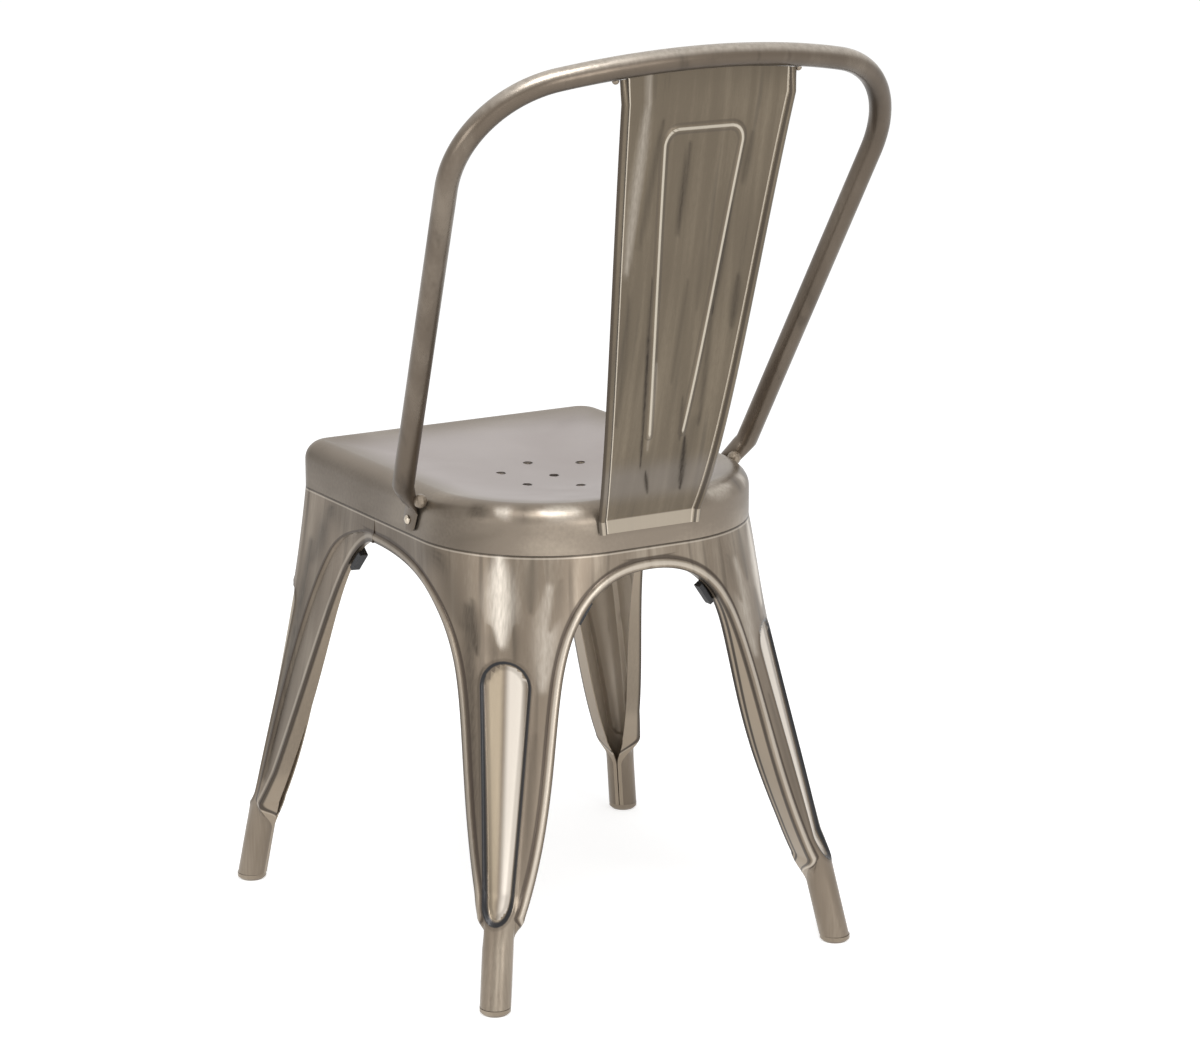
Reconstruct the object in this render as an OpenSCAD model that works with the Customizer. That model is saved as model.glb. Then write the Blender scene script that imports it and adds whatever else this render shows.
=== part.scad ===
// Bistro chair of pressed sheet steel, with a tube hoop back and a splat.
// All sizes are in millimetres. The front of the chair faces -Y and +Z is up.
// The pieces are drawn about the middle of the seat and moved together at the
// end, so that the origin lies under the middle of the whole chair.

/* [Seat] */
// Width of the seat over its skirt
seat_w = 326; // [316:1:340]
// Depth of the seat over its skirt
seat_d = 379; // [365:1:395]
// Height of the rim of the seat above the floor
seat_h = 438; // [425:1:455]
// Height of the seat's skirt with its rounded rim
seat_side = 44; // [38:1:50]
// Radius of the seat's two back corners, seen from above
seat_back_r = 125; // [110:1:135]
// Radius of the seat's two front corners, seen from above
seat_front_r = 27; // [22:1:34]
// Radius that rounds the rim over into the skirt
rim_r = 18; // [14:1:20]
// Depth of the dish below the rim
dish = 14; // [8:1:18]
// Height of the stepped lap that goes behind the tops of the legs
lap_h = 9; // [7:0.5:10]
// Diameter of each drain hole
drain_d = 8.5; // [6:0.5:10]
// Radius of the ring of drain holes
drain_ring_r = 49.5; // [44:0.5:54]
// Number of drain holes in the ring
drain_count = 6; // [4:1:8]
// Distance of the dish's deepest point behind the middle of the seat
dish_back = 43.5; // [30:1:50]
// Distance of the middle drain hole behind the middle of the seat
drain_back = 20.8; // [12:0.2:28]

/* [Sheet and tube] */
// Thickness of the pressed sheet
sheet = 1.2; // [1:0.1:1.6]
// Outer diameter of the hoop's tube
tube_d = 20; // [18:0.5:22]
// Wall of the hoop's tube
tube_wall = 1.5; // [1.2:0.1:2]
// Running clearance between pieces that lie against each other
clear = 0.3; // [0.2:0.05:0.5]

/* [Legs] */
// Outer diameter of the foot tube that each leg is rolled into
foot_d = 28; // [25:0.5:31]
// Distance of a back foot from the middle line, at the floor
back_foot_x = 181.5; // [172:0.5:190]
// Distance of a back foot behind the middle of the seat, at the floor
back_foot_y = 228.4; // [218:0.2:238]
// Distance of a front foot from the middle line, at the floor
front_foot_x = 211.9; // [202:0.1:220]
// Distance of a front foot before the middle of the seat, at the floor
front_foot_y = 206.2; // [196:0.2:216]
// Height at which the rolled foot tube begins to open into the leg
knee_h = 62; // [56:1:68]
// Height at which the leg is fully open above the foot tube
open_h = 83; // [80:1:92]
// Extra radius of the corner of each back leg above its foot tube
corner_ease = 12; // [6:1:16]
// Depth of the flange that is turned in at the top of each arch
flange_w = 13; // [10:0.5:16]
// Depth of that flange low on the back legs
flange_low_w = 30; // [24:0.5:33]
// Width of the raised border along each arch
border_w = 9.5; // [8:0.5:11]
// Height of the raised border above the face of the leg
border_h = 2; // [1:0.25:3]
// Extra width of the wing along each front leg's side arch, at its widest
wing_w = 26; // [20:1:30]
// Depth of that wing below the face of the leg
wing_drop = 3; // [2:0.25:4]

/* [Arches] */
// Drop of the top of each side arch below the rim of the seat
side_arch_drop = 67.5; // [64:0.5:76]
// Distance of the side arch's top before the middle of the seat
side_arch_front = 26.5; // [15:0.5:35]
// Drop of the top of the back and front arches below the rim of the seat
end_arch_drop = 65; // [63:0.5:76]

/* [Teardrop recess] */
// Drop of the middle of the recess's round top below the rim of the seat
recess_drop = 159.5; // [145:0.5:172]
// Radius of the round top
recess_r = 21.5; // [18:0.5:24]
// Half of the recess's width at its foot
recess_foot_r = 10.5; // [9:0.5:12]
// Width of the step round the recess
step_w = 3; // [2:0.25:4]
// Depth of the recess at its top
recess_top_depth = 3; // [2:0.25:4]
// Depth of the recess at its foot
recess_foot_depth = 5.5; // [4:0.25:6.5]
// Height of the ridge along the recess's floor
ridge_h = 1.4; // [0.5:0.1:2]

/* [Back hoop] */
// Half of the width at which the side line and the top line of the hoop cross
hoop_cross_x = 223.7; // [216:0.1:232]
// Distance of that crossing behind the middle of the seat
hoop_cross_y = 254; // [240:0.5:268]
// Height of that crossing above the rim of the seat
hoop_cross_rise = 375.3; // [360:0.1:395]
// Distance of the crossing of the two top lines behind the middle of the seat
hoop_peak_y = 308; // [296:0.5:318]
// Height of the crossing of the two top lines above the rim of the seat
hoop_peak_rise = 416.5; // [405:0.5:440]
// Radius of the hoop's corners along the middle of the tube
hoop_corner_r = 103; // [90:0.5:112]
// Distance of the middle of the tube outside the seat's skirt, at its rim
hoop_low_out = 18.1; // [15:0.1:22]
// Distance of the tube behind the middle of the seat at the seat's height
hoop_low_y = 63; // [57:0.5:69]
// Height above the rim of the seat at which the tube flattens into its lug
hoop_low_rise = 8; // [6:1:14]
// Thickness of the flattened lug
lug_t = 4; // [3:0.25:5]
// Radius of the round end of the lug
lug_r = 11; // [9:0.5:12]
// Distance of the lug's rivet behind the middle of the seat
rivet_y = 47; // [40:0.5:54]
// Distance of the rivet below the rim of the seat
rivet_drop = 29; // [26:0.5:32]
// Diameter of the rivet's shank
rivet_d = 5; // [4:0.5:6]
// Diameter of the rivet's domed head
rivet_head_d = 8.5; // [7.5:0.5:10]

/* [Splat] */
// Half of the splat's width at the bend above the seat's rim
splat_low_w = 53.4; // [46:0.5:58]
// Half of the splat's width at the top
splat_top_w = 88.7; // [80:0.5:98]
// Height of the tab that is welded to the skirt
splat_tab_h = 13; // [10:0.5:15]
// Width of the rolled hem along each side
hem_w = 8; // [6:0.5:9]
// Height of the rolled hem
hem_h = 3.5; // [2:0.25:5]
// Half of the width of the embossed bead at its top
bead_top_w = 40; // [34:0.5:44]
// Half of the width of the embossed bead at its foot
bead_foot_w = 17; // [14:0.5:20]
// Width of the embossed bead
bead_w = 9; // [7:0.5:11]
// Height of the embossed bead
bead_h = 1.6; // [1:0.2:2.4]

/* [Braces and small parts] */
// Width of each cross brace
brace_w = 30; // [24:1:36]
// Thickness of each cross brace
brace_t = 1.5; // [1.2:0.1:2]
// Height of the turned-up or turned-down edges of the braces
brace_edge = 8; // [6:0.5:9]
// Diameter of the bolt where the braces cross
bolt_d = 6; // [5:0.5:8]
// Height of the foot cap's rim
cap_h = 6; // [5:0.5:8]
// Bevel round the bottom of the foot cap
cap_bevel = 2.5; // [1:0.25:3]
// Length of the cap's plug inside the foot tube
plug_h = 16; // [10:1:24]
// Length of a stacking bumper along the arch
bumper_l = 22; // [16:1:28]

/* [Hidden] */
$fn = 48;

metal = [0.57, 0.52, 0.45];
seat_metal = [0.62, 0.58, 0.54];
bright = [0.8, 0.78, 0.72];
rubber = [0.12, 0.12, 0.12];

// Heights that several pieces share
seam_h = seat_h - seat_side;
skirt_top_h = seat_h - rim_r;
side_arch_h = seat_h - side_arch_drop;
end_arch_h = seat_h - end_arch_drop;
recess_top_h = seat_h - recess_drop;
foot_r = foot_d / 2;
tube_r = tube_d / 2;

// General curves
function mix(a, b, t) = a + (b - a) * t;
function clamp01(t) = min(1, max(0, t));
function ease(t) = let (u = clamp01(t)) u * u * (3 - 2 * u);
function unit(v) = v / norm(v);
function bezier(p, t) = pow(1 - t, 3) * p[0] + 3 * pow(1 - t, 2) * t * p[1]
    + 3 * (1 - t) * t * t * p[2] + pow(t, 3) * p[3];

// A sheet made from a grid of points on its outer face. The inner face lies
// one wall inside it, measured square to the face and mitred at each bend.
function grid_normal(g, i, j) =
    let (rows = len(g) - 1, cols = len(g[0]) - 1,
         down = g[min(rows, i + 1)][j] - g[max(0, i - 1)][j],
         across = unit(g[i][min(cols, j + 1)] - g[i][j == cols ? j - 1 : j]),
         before = unit(g[i][j == 0 ? 1 : j] - g[i][max(0, j - 1)]),
         full = unit(cross(down, across + before)),
         face = unit(cross(down, across)))
    full / max(0.6, full * face);
function grid_faces(rows, cols, flip) =
    [for (i = [0 : rows - 2]) for (j = [0 : cols - 2])
        let (a = i * cols + j, b = a + 1, c = a + cols, d = c + 1)
        for (f = [[a, b, d], [a, d, c]]) flip ? [f[0], f[2], f[1]] : f];
function rim_faces(loop, shift) =
    let (n = len(loop))
    [for (k = [0 : n - 1])
        let (a = loop[k], b = loop[(k + 1) % n])
        for (f = [[a, a + shift, b + shift], [a, b + shift, b]]) f];
module sheet_from_grid(g, wall) {
    rows = len(g);
    cols = len(g[0]);
    count = rows * cols;
    outer = [for (r = g) each r];
    inner = [for (i = [0 : rows - 1]) for (j = [0 : cols - 1])
        g[i][j] - wall * grid_normal(g, i, j)];
    loop = concat([for (j = [0 : cols - 2]) j],
                  [for (i = [0 : rows - 2]) i * cols + cols - 1],
                  [for (j = [cols - 1 : -1 : 1]) (rows - 1) * cols + j],
                  [for (i = [rows - 1 : -1 : 1]) i * cols]);
    shifted = [for (f = grid_faces(rows, cols, true)) f + [count, count, count]];
    polyhedron(concat(outer, inner),
               concat(grid_faces(rows, cols, false), shifted, rim_faces(loop, count)),
               convexity = 10);
}

// Outline of the seat, seen from above, drawn in by an inset. Its corners
// have the same eight steps as the tops of the legs, so that the faces meet.
arc_steps = 8;
function corner_points(cx, cy, r, from) =
    [for (k = [0 : arc_steps]) let (a = from + k * 90 / arc_steps)
        [cx + r * cos(a), cy + r * sin(a)]];
function seat_outline(inset) =
    let (x = seat_w / 2, y = seat_d / 2, b = seat_back_r, f = seat_front_r)
    concat(corner_points(x - b, y - b, b - inset, 0),
           corner_points(b - x, y - b, b - inset, 90),
           corner_points(f - x, f - y, f - inset, 180),
           corner_points(x - f, f - y, f - inset, 270));

// Rings of the seat's section from the lap's lower edge up over the rim.
// Each is an inset and a height; depth is the distance inside the outer face.
rim_steps = 4;
lap_inset = sheet + 0.2;
function seat_rings(depth) = concat(
    [[lap_inset + depth, seam_h - lap_h],
     [lap_inset + depth, seam_h - clear + depth],
     [depth, seam_h + clear + depth]],
    [for (k = [0 : rim_steps]) let (a = k * 90 / rim_steps)
        [rim_r - (rim_r - depth) * cos(a), skirt_top_h + (rim_r - depth) * sin(a)]]);
dish_power = 1.7;
dish_steps = [0.12, 0.3, 0.5, 0.7, 0.87];
function dish_ring(q, depth) =
    [for (p = seat_outline(rim_r))
        [mix(p[0], 0, q), mix(p[1], dish_back, q),
         seat_h - depth - dish * (1 - pow(1 - q, dish_power))]];
function seat_face(depth) = concat(
    [for (r = seat_rings(depth)) [for (p = seat_outline(r[0])) [p[0], p[1], r[1]]]],
    [for (q = dish_steps) dish_ring(q, depth)]);

function ring_faces(rings, n, start, flip) =
    [for (i = [0 : rings - 2]) for (k = [0 : n - 1])
        let (a = start + i * n + k, b = start + i * n + (k + 1) % n, c = a + n, d = b + n)
        for (f = [[a, b, d], [a, d, c]]) flip ? [f[0], f[2], f[1]] : f];
module seat_shell() {
    outer = seat_face(0);
    inner = seat_face(sheet);
    rings = len(outer);
    n = len(outer[0]);
    count = rings * n;
    top = 2 * count;
    last = (rings - 1) * n;
    points = concat([for (r = outer) each r], [for (r = inner) each r],
                    [[0, dish_back, seat_h - dish], [0, dish_back, seat_h - dish - sheet]]);
    caps = [for (k = [0 : n - 1]) let (a = last + k, b = last + (k + 1) % n)
        for (f = [[a, top, b], [count + a, count + b, top + 1]]) f];
    edge = [for (k = [0 : n - 1]) let (a = k, b = (k + 1) % n)
        for (f = [[a, b, count + b], [a, count + b, count + a]]) f];
    polyhedron(points, concat(ring_faces(rings, n, 0, true),
                              ring_faces(rings, n, count, false), caps, edge),
               convexity = 10);
}

module seat_pan() color(seat_metal) difference() {
    seat_shell();
    translate([0, drain_back, seat_h - dish - 2 * drain_d]) {
        cylinder(h = 4 * drain_d, d = drain_d);
        for (k = [0 : drain_count - 1]) rotate([0, 0, 90 + k * 360 / drain_count])
            translate([drain_ring_r, 0, 0]) cylinder(h = 4 * drain_d, d = drain_d);
    }
    for (side = [-1, 1]) translate([side * seat_w / 2, rivet_y, rivet_h])
        rotate([0, 90, 0]) cylinder(h = 4 * sheet, d = rivet_d + clear, center = true);
}

// Each leg is one pressed sheet. Its plan at any height is a rounded corner,
// whose outermost point runs down the corner line from the seat to the foot.
// The functions work in the quarter plan where x and y are both positive.
half_turn = sqrt(0.5);
function foot_at(rear) = rear ? [back_foot_x, back_foot_y] : [front_foot_x, front_foot_y];
// How far the foot tube and the top of the corner line lean out for each
// millimetre of height, to the side and to the end
back_foot_lean = [0.165, 0.193];
front_foot_lean = [0.143, 0.132];
back_head_lean = [0.12, 0.2];
front_head_lean = [0.087, 0.084];
function foot_lean(rear) = rear ? back_foot_lean : front_foot_lean;
function head_lean(rear) = rear ? back_head_lean : front_head_lean;
function head_r(rear) = rear ? seat_back_r : seat_front_r;
function foot_axis(rear, z) = foot_at(rear) - z * foot_lean(rear);
function corner_line(rear, z) =
    let (knee = foot_axis(rear, knee_h) + foot_r * half_turn * [1, 1],
         r = head_r(rear),
         head = [seat_w / 2 - r, seat_d / 2 - r] + r * half_turn * [1, 1],
         rise = (seam_h - knee_h) / 3)
    z <= knee_h ? foot_axis(rear, z) + foot_r * half_turn * [1, 1]
    : bezier([knee, knee - rise * foot_lean(rear), head + rise * head_lean(rear), head],
             (z - knee_h) / (seam_h - knee_h));
function plain_r(rear, z) =
    z <= knee_h ? foot_r : mix(foot_r, head_r(rear), (z - knee_h) / (seam_h - knee_h));
// The corner is rounder between the foot tube, which stands out, and the seam;
// a front leg, whose corner is tight, has a quarter of it
function more_r(rear, z) = (rear ? corner_ease : corner_ease / 4)
    * ease((z - knee_h) / (open_h - knee_h) - 1)
    * (1 - ease((z - recess_top_h) / (seam_h - recess_top_h)));
function corner_r(rear, z) = plain_r(rear, z) + more_r(rear, z);
// Middle of the corner's arc
function corner_mid(rear, z) = corner_line(rear, z)
    - (plain_r(rear, z) * half_turn + more_r(rear, z)) * [1, 1];
// Length of half of the corner's arc
function arc_half(rear, z) = corner_r(rear, z) * PI / 4;

// A point of the leg's face: s runs round the plan from the corner line, to the
// side face where it is positive and to the end face where it is negative, and
// h is the height above the face.
function face_point(rear, s, z, h) =
    let (r = corner_r(rear, z), turn = s < 0 ? -1 : 1,
         arc = min(abs(s), arc_half(rear, z)),
         a = 45 - turn * arc / r * 180 / PI,
         flat_run = abs(s) - arc,
         mid = corner_mid(rear, z))
    [mid[0] + (r + h) * cos(a) + turn * flat_run * sin(a),
     mid[1] + (r + h) * sin(a) - turn * flat_run * cos(a), z];

// The edge of each arch, from its top down to the knee, as the four controls of
// a curve, [distance along the face, height]. Side arches measure from the
// middle of the seat's depth. Each list has the distances of the last three
// controls as shares of the foot's, and the share of the third control's drop.
rear_side_shares = [0.6874, 0.5123, 0.8818, 0.36];
rear_end_shares = [0.6501, 0.4656, 0.8292, 0.5];
front_side_shares = [0.517, 0.5892, 0.8594, 0.61];
front_end_shares = [0.7154, 0.6088, 0.8537, 0.56];
function arch_curve(apex, top, foot, share) =
    [[apex, top], [foot * share[0], top], [foot * share[1], mix(top, open_h, share[3])],
     [foot * share[2], open_h]];
function side_arch(rear) = rear
    ? arch_curve(-side_arch_front, side_arch_h, back_foot_y, rear_side_shares)
    : arch_curve(side_arch_front, side_arch_h, front_foot_y, front_side_shares);
function end_arch(rear) = rear
    ? arch_curve(0, end_arch_h, back_foot_x, rear_end_shares)
    : arch_curve(0, end_arch_h, front_foot_x, front_end_shares);
function arch_of(rear, side) = side ? side_arch(rear) : end_arch(rear);
// The arch's edge as [s, height] on the face; butt leaves a gap to the next leg
function arch_s(rear, side, t) =
    let (p = bezier(arch_of(rear, side), t), z = p[1], r = corner_r(rear, z),
         past = (side ? 1 : 0), along = p[0] - corner_mid(rear, z)[past])
    [along < 0 ? arc_half(rear, z) - along - (t == 0 ? clear / 2 : 0)
               : r * (45 - asin(min(0.7, along / r))) * PI / 180, z];
function arch_in(rear, side, t) =
    let (d = arch_s(rear, side, min(1, t + 0.01)) - arch_s(rear, side, max(0.001, t - 0.01)))
    t == 0 ? [0, 1] : unit([d[1], -d[0]]);

// The flange is deeper low on the leg. It grows over this part of the arch, and
// on a front leg it grows less and starts narrower.
flange_from = 0.25;
flange_to = 0.8;
front_flange_share = 0.6;
front_flange_less = 3;
function flange(rear, t) =
    let (grown = ease((t - flange_from) / (flange_to - flange_from)))
    mix(flange_w, flange_low_w, rear ? grown : front_flange_share * grown)
    - (rear ? 0 : front_flange_less);

// Recess: half width, depth and how far the leg's relief has faded in
recess_lip_h = open_h - 4;
function recess_w(z) = z > recess_top_h
    ? sqrt(max(0, recess_r * recess_r - pow(z - recess_top_h, 2)))
    : mix(recess_foot_r, recess_r, clamp01((z - knee_h) / (recess_top_h - knee_h)));
function recess_depth(z) = z > recess_top_h + recess_r - 1 || z <= knee_h ? 0
    : mix(recess_foot_depth, recess_top_depth,
          clamp01((z - recess_lip_h) / (recess_top_h - recess_lip_h)))
      * clamp01((z - knee_h) / (recess_lip_h - knee_h));

// Heights on the corner line of the rows of points, from the seam to the foot.
// The shares run from the seam down to the recess and from its round top to the
// middle of that round; the last row of the open part lies above the knee.
recess_end_h = recess_top_h + recess_r;
head_shares = [0, 0.14, 0.33, 0.66, 0.98];
round_shares = [0.82, 0.47];
body_rows = 8;
knee_ease = 12;
leg_rows = concat(
    [for (k = head_shares) mix(seam_h, recess_end_h, k)],
    [for (k = round_shares) mix(recess_top_h, recess_end_h, k)],
    [for (k = [0 : body_rows - 1]) mix(recess_top_h, open_h + knee_ease, k / (body_rows - 1))],
    [open_h, mix(open_h, knee_h, 0.5), knee_h, mix(knee_h, foot_d, 0.3), foot_d, cap_h + clear]);

// Columns of points over half of the leg, from the flange's edge to the corner
// line: five along the border, five over the face and two on the recess's step
flank_count = 5;
column_count = 12;
tube_wrap = 178;
// Columns before the recess's round top begins, and the steps of the border
plain_columns = [8, 4];
border_rise = 0.24;
border_fall = 0.28;
wing_ramp = 3;
function bow(t) = 4 * t * (1 - t);
function seam_s(rear, side) =
    let (edge = arch_s(rear, side, 0)[0], arc = arc_half(rear, seam_h))
    [edge, mix(edge, arc, 1 / 3), mix(edge, arc, 2 / 3), arc, arc * 3 / 4, arc / 2, arc / 4];
function recess_s(rear, from, z) =
    let (w = recess_w(z), mid = z > recess_end_h ? plain_columns
             : [w + step_w / 2, max(w / 2, w - step_w / 2)])
    concat([for (k = [1 : flank_count]) mix(from, mid[0], k / (flank_count + 1))], mid);
// One half row of points as [s, height, relief]
function half_row(rear, side, z) =
    let (low = max(z, open_h), w = (seam_h - low) / (seam_h - open_h), t = pow(w, 0.7),
         e = arch_s(rear, side, t), n = arch_in(rear, side, t), top = seam_s(rear, side),
         wing = !rear && side, wide = border_w + (wing ? wing_w * bow(t) : 0),
         from = e + wide * n,
         sunk = border_h / 2 - (wing_drop + border_h / 2) * min(1, wing_ramp * bow(t)),
         border = wing ? [sunk, sunk, sunk] : [border_h / 4, border_h, border_h],
         fade = ease((seam_h - low) / (seam_h - recess_end_h)),
         own = recess_s(rear, from[0], z),
         seam = [for (k = [0 : 6]) k == 0 ? from[0] - 2 * border_h : top[k] * from[0] / top[0]],
         s_list = w == 0 ? top : [for (k = [0 : 6]) mix(seam[k], own[k], fade)],
         drop = z - low)
    concat([for (b = [[0, -flange(rear, t)], [0, border[0]], [border_rise, border[1]],
                      [1 - border_fall * border_w / wide, border[2]], [1, 0]])
               let (p = e + b[0] * wide * n) [p[0], p[1] + drop, b[1]]],
           [for (k = [0 : 6])
               [s_list[k],
                w == 0 ? z : mix(from[1] + drop, z, (from[0] - s_list[k]) / from[0]),
                k == 6 ? -recess_depth(z) : 0]]);
function tube_point(rear, side, k, z) =
    let (a = 45 - (side ? 1 : -1) * tube_wrap * (1 - k / column_count),
         axis = foot_axis(rear, z))
    [axis[0] + foot_r * cos(a), axis[1] + foot_r * sin(a), z];
function half_points(rear, side, z) =
    let (row = half_row(rear, side, z), roll = ease((open_h - z) / (open_h - knee_h + 10)),
         turn = side ? 1 : -1)
    [for (k = [0 : column_count - 1]) let (p = row[k])
        mix(face_point(rear, turn * p[0], p[1], p[2]), tube_point(rear, side, k, z), roll)];
function ridge_point(rear, z) =
    face_point(rear, 0, z, -max(0, recess_depth(z) - ridge_h));
function leg_grid(rear) =
    [for (z = leg_rows)
        let (a = half_points(rear, true, z), b = half_points(rear, false, z))
        concat(a, [ridge_point(rear, z)], [for (k = [column_count - 1 : -1 : 0]) b[k]])];

module leg(rear, left) color(metal)
    mirror([left ? 0 : 1, 0, 0]) mirror([0, rear ? 0 : 1, 0])
        sheet_from_grid(leg_grid(rear), sheet);

// Back hoop: straight sides, round corners and a shallow top arc, each tangent
// to the next. The arcs lie in the planes of the lines that they join.
lug_x = seat_w / 2 + clear + lug_t / 2;
hoop_low_x = seat_w / 2 + hoop_low_out;
rivet_h = seat_h - rivet_drop;
hoop_cross = [hoop_cross_x, hoop_cross_y, seat_h + hoop_cross_rise];
hoop_peak = [0, hoop_peak_y, seat_h + hoop_peak_rise];
hoop_up = unit(hoop_cross - [hoop_low_x, hoop_low_y, seat_h]);
hoop_in = unit(hoop_peak - hoop_cross);
hoop_low = hoop_cross - hoop_up * (hoop_cross_rise - hoop_low_rise) / hoop_up[2];
corner_turn = acos(hoop_up * hoop_in);
corner_run = hoop_corner_r * tan(corner_turn / 2);
corner_start = hoop_cross - corner_run * hoop_up;
corner_end = hoop_cross + corner_run * hoop_in;
top_turn = acos(hoop_in * [-1, 0, 0]);
top_r = norm(hoop_peak - corner_end) / tan(top_turn);
top_dir = unit(hoop_peak - [0, corner_end[1], corner_end[2]]);
top_mid = [0, corner_end[1], corner_end[2]] - top_r * cos(top_turn) * top_dir;
function hoop_top_point(x) = let (a = asin(x / top_r))
    top_mid + top_r * [sin(a), cos(a) * top_dir[1], cos(a) * top_dir[2]];

// Puts the X axis along one direction and the Y axis along another
module frame_to(origin, x_dir, y_dir) {
    x = unit(x_dir);
    z = unit(cross(x_dir, y_dir));
    y = cross(z, x);
    multmatrix([[x[0], y[0], z[0], origin[0]], [x[1], y[1], z[1], origin[1]],
                [x[2], y[2], z[2], origin[2]], [0, 0, 0, 1]]) children();
}
module rod(from, to, r, beside = [1, 0, 0]) frame_to(from, to - from, beside)
    rotate([0, 90, 0]) cylinder(h = norm(to - from), r = r);
// The hoop is drawn as rings along its left half, each [middle, direction of the
// tube, half thickness, half width], from the tip of the flattened lug to the
// middle of the top. Its bore runs on through the lugs as a slit.
lug_slit = 0.6;
lug_top = 1.18 * lug_r;
lug_up = unit([0, 0.45, 1]);
lug_mid = [lug_x, rivet_y, rivet_h];
corner_n = unit(hoop_in - (hoop_in * hoop_up) * hoop_up);
corner_c = corner_start + hoop_corner_r * corner_n;
corner_steps = 8;
top_steps = 4;
function corner_ring(a, r) = [
    corner_c - hoop_corner_r * cos(a) * corner_n + hoop_corner_r * sin(a) * hoop_up,
    cos(a) * hoop_up + sin(a) * corner_n, r, r];
function top_ring(x, r) = let (a = asin(x / top_r))
    [hoop_top_point(x), -[cos(a), -sin(a) * top_dir[1], -sin(a) * top_dir[2]], r, r];
lug_round = [-0.97, -0.8, -0.45, 0];
function hoop_rings(wall) =
    let (r = tube_r - wall, thin = wall == 0 ? lug_t / 2 : lug_slit / 2,
         neck_top = hoop_low, neck_foot = lug_mid + lug_top * lug_up)
    concat([for (d = lug_round)
                [lug_mid + d * lug_r * lug_up, lug_up, thin, lug_r * sqrt(1 - d * d) - wall]],
           [[neck_foot, lug_up, thin, lug_r - wall],
            [mix(neck_foot, neck_top, 0.5), unit(neck_top - neck_foot), mix(thin, r, 0.6),
             mix(lug_r - wall, r, 0.5)],
            [neck_top, unit(unit(neck_top - neck_foot) + hoop_up), r, r],
            [neck_top + tube_r * hoop_up, hoop_up, r, r]],
           [for (k = [0 : corner_steps]) corner_ring(k * corner_turn / corner_steps, r)],
           [for (k = [top_steps - 1 : -1 : 0]) top_ring(corner_end[0] * k / top_steps, r)]);
// Points of a ring; the width direction keeps to the plane of the hoop's face
tube_sides = 20;
hoop_face = [0, -0.9, 0.45];
function ring_points(g) =
    let (b = unit(hoop_face - (hoop_face * g[1]) * g[1]), a = cross(g[1], b))
    [for (k = [0 : tube_sides - 1]) let (t = k * 360 / tube_sides)
        g[0] + g[2] * cos(t) * a + g[3] * sin(t) * b];
function both_halves(wall) =
    let (half = [for (g = hoop_rings(wall)) ring_points(g)], last = len(half) - 1)
    concat(half, [for (k = [last - 1 : -1 : 0]) [for (p = half[k]) [-p[0], p[1], p[2]]]]);
module back_hoop() color(metal) difference() {
    outer = both_halves(0);
    inner = both_halves(tube_wall);
    rings = len(outer);
    n = tube_sides;
    count = rings * n;
    ends = [for (k = [0 : n - 1])
        let (a = k, b = (k + 1) % n, c = (rings - 1) * n + a, d = (rings - 1) * n + b)
        for (f = [[a, count + b, b], [a, count + a, count + b],
                  [c, d, count + d], [c, count + d, count + c]]) f];
    polyhedron(concat([for (r = outer) each r], [for (r = inner) each r]),
               concat(ring_faces(rings, n, 0, false), ring_faces(rings, n, count, true), ends),
               convexity = 10);
    for (side = [-1, 1]) translate([side * lug_x, rivet_y, rivet_h]) rotate([0, 90, 0])
        cylinder(h = 4 * lug_t, d = rivet_d + clear, center = true);
}

// Rivet through the lug and the skirt, with a domed head outside
inner_head_t = 1.5;
head_flat = 0.6;
module hoop_rivet(left) color(bright) mirror([left ? 0 : 1, 0, 0])
    translate([seat_w / 2 - sheet, rivet_y, rivet_h]) rotate([0, 90, 0]) {
        grip = sheet + clear + lug_t;
        cylinder(h = grip + clear, d = rivet_d);
        translate([0, 0, -clear - inner_head_t]) cylinder(h = inner_head_t, d = rivet_head_d);
        translate([0, 0, -clear]) cylinder(h = sheet, d = rivet_d);
        translate([0, 0, grip + clear]) rotate_extrude() difference() {
            scale([1, head_flat]) circle(d = rivet_head_d);
            translate([-rivet_head_d, -rivet_head_d]) square([rivet_head_d, 2 * rivet_head_d]);
            translate([0, -rivet_head_d]) square(rivet_head_d);
        }
    }

// A round lump of weld metal, drawn with flat facets
lump_sides = 16;
lump_rings = [-70, -42, -14, 14, 42, 70];
module lump(r) {
    n = lump_sides;
    last = (len(lump_rings) - 1) * n;
    polyhedron([for (a = lump_rings) for (k = [0 : n - 1]) let (t = k * 360 / n)
                   r * [cos(a) * cos(t), cos(a) * sin(t), sin(a)]],
               concat(ring_faces(len(lump_rings), n, 0, true), [[for (k = [0 : n - 1]) k]],
                      [[for (k = [n - 1 : -1 : 0]) last + k]]));
}

// Weld between the tube and the rim of the seat
weld_r = 6.5;
weld_place = [tube_r + 5.5, -3, tube_r + 5];
module hoop_weld(left) color(metal) mirror([left ? 0 : 1, 0, 0]) difference() {
    translate(hoop_low - weld_place) lump(weld_r);
    translate([seat_w / 2 - rim_r, 0, skirt_top_h]) rotate([90, 0, 0])
        cylinder(h = seat_d, r = rim_r + clear / 2, center = true);
    rod(lug_mid, 2 * hoop_low - lug_mid, tube_r + clear);
}

// Splat: a pressed sheet that widens upwards, with rolled hems along its sides
// and an embossed bead, open at the foot. Each control is [half width, y, z].
splat_face_y = seat_d / 2 + clear + sheet;
splat_bend = [splat_low_w, splat_face_y, seam_h + 0.68 * seat_side];
splat_end = [splat_top_w, hoop_peak_y - 1.75 * tube_r, hoop_peak[2] - 2.85 * tube_r];
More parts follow.
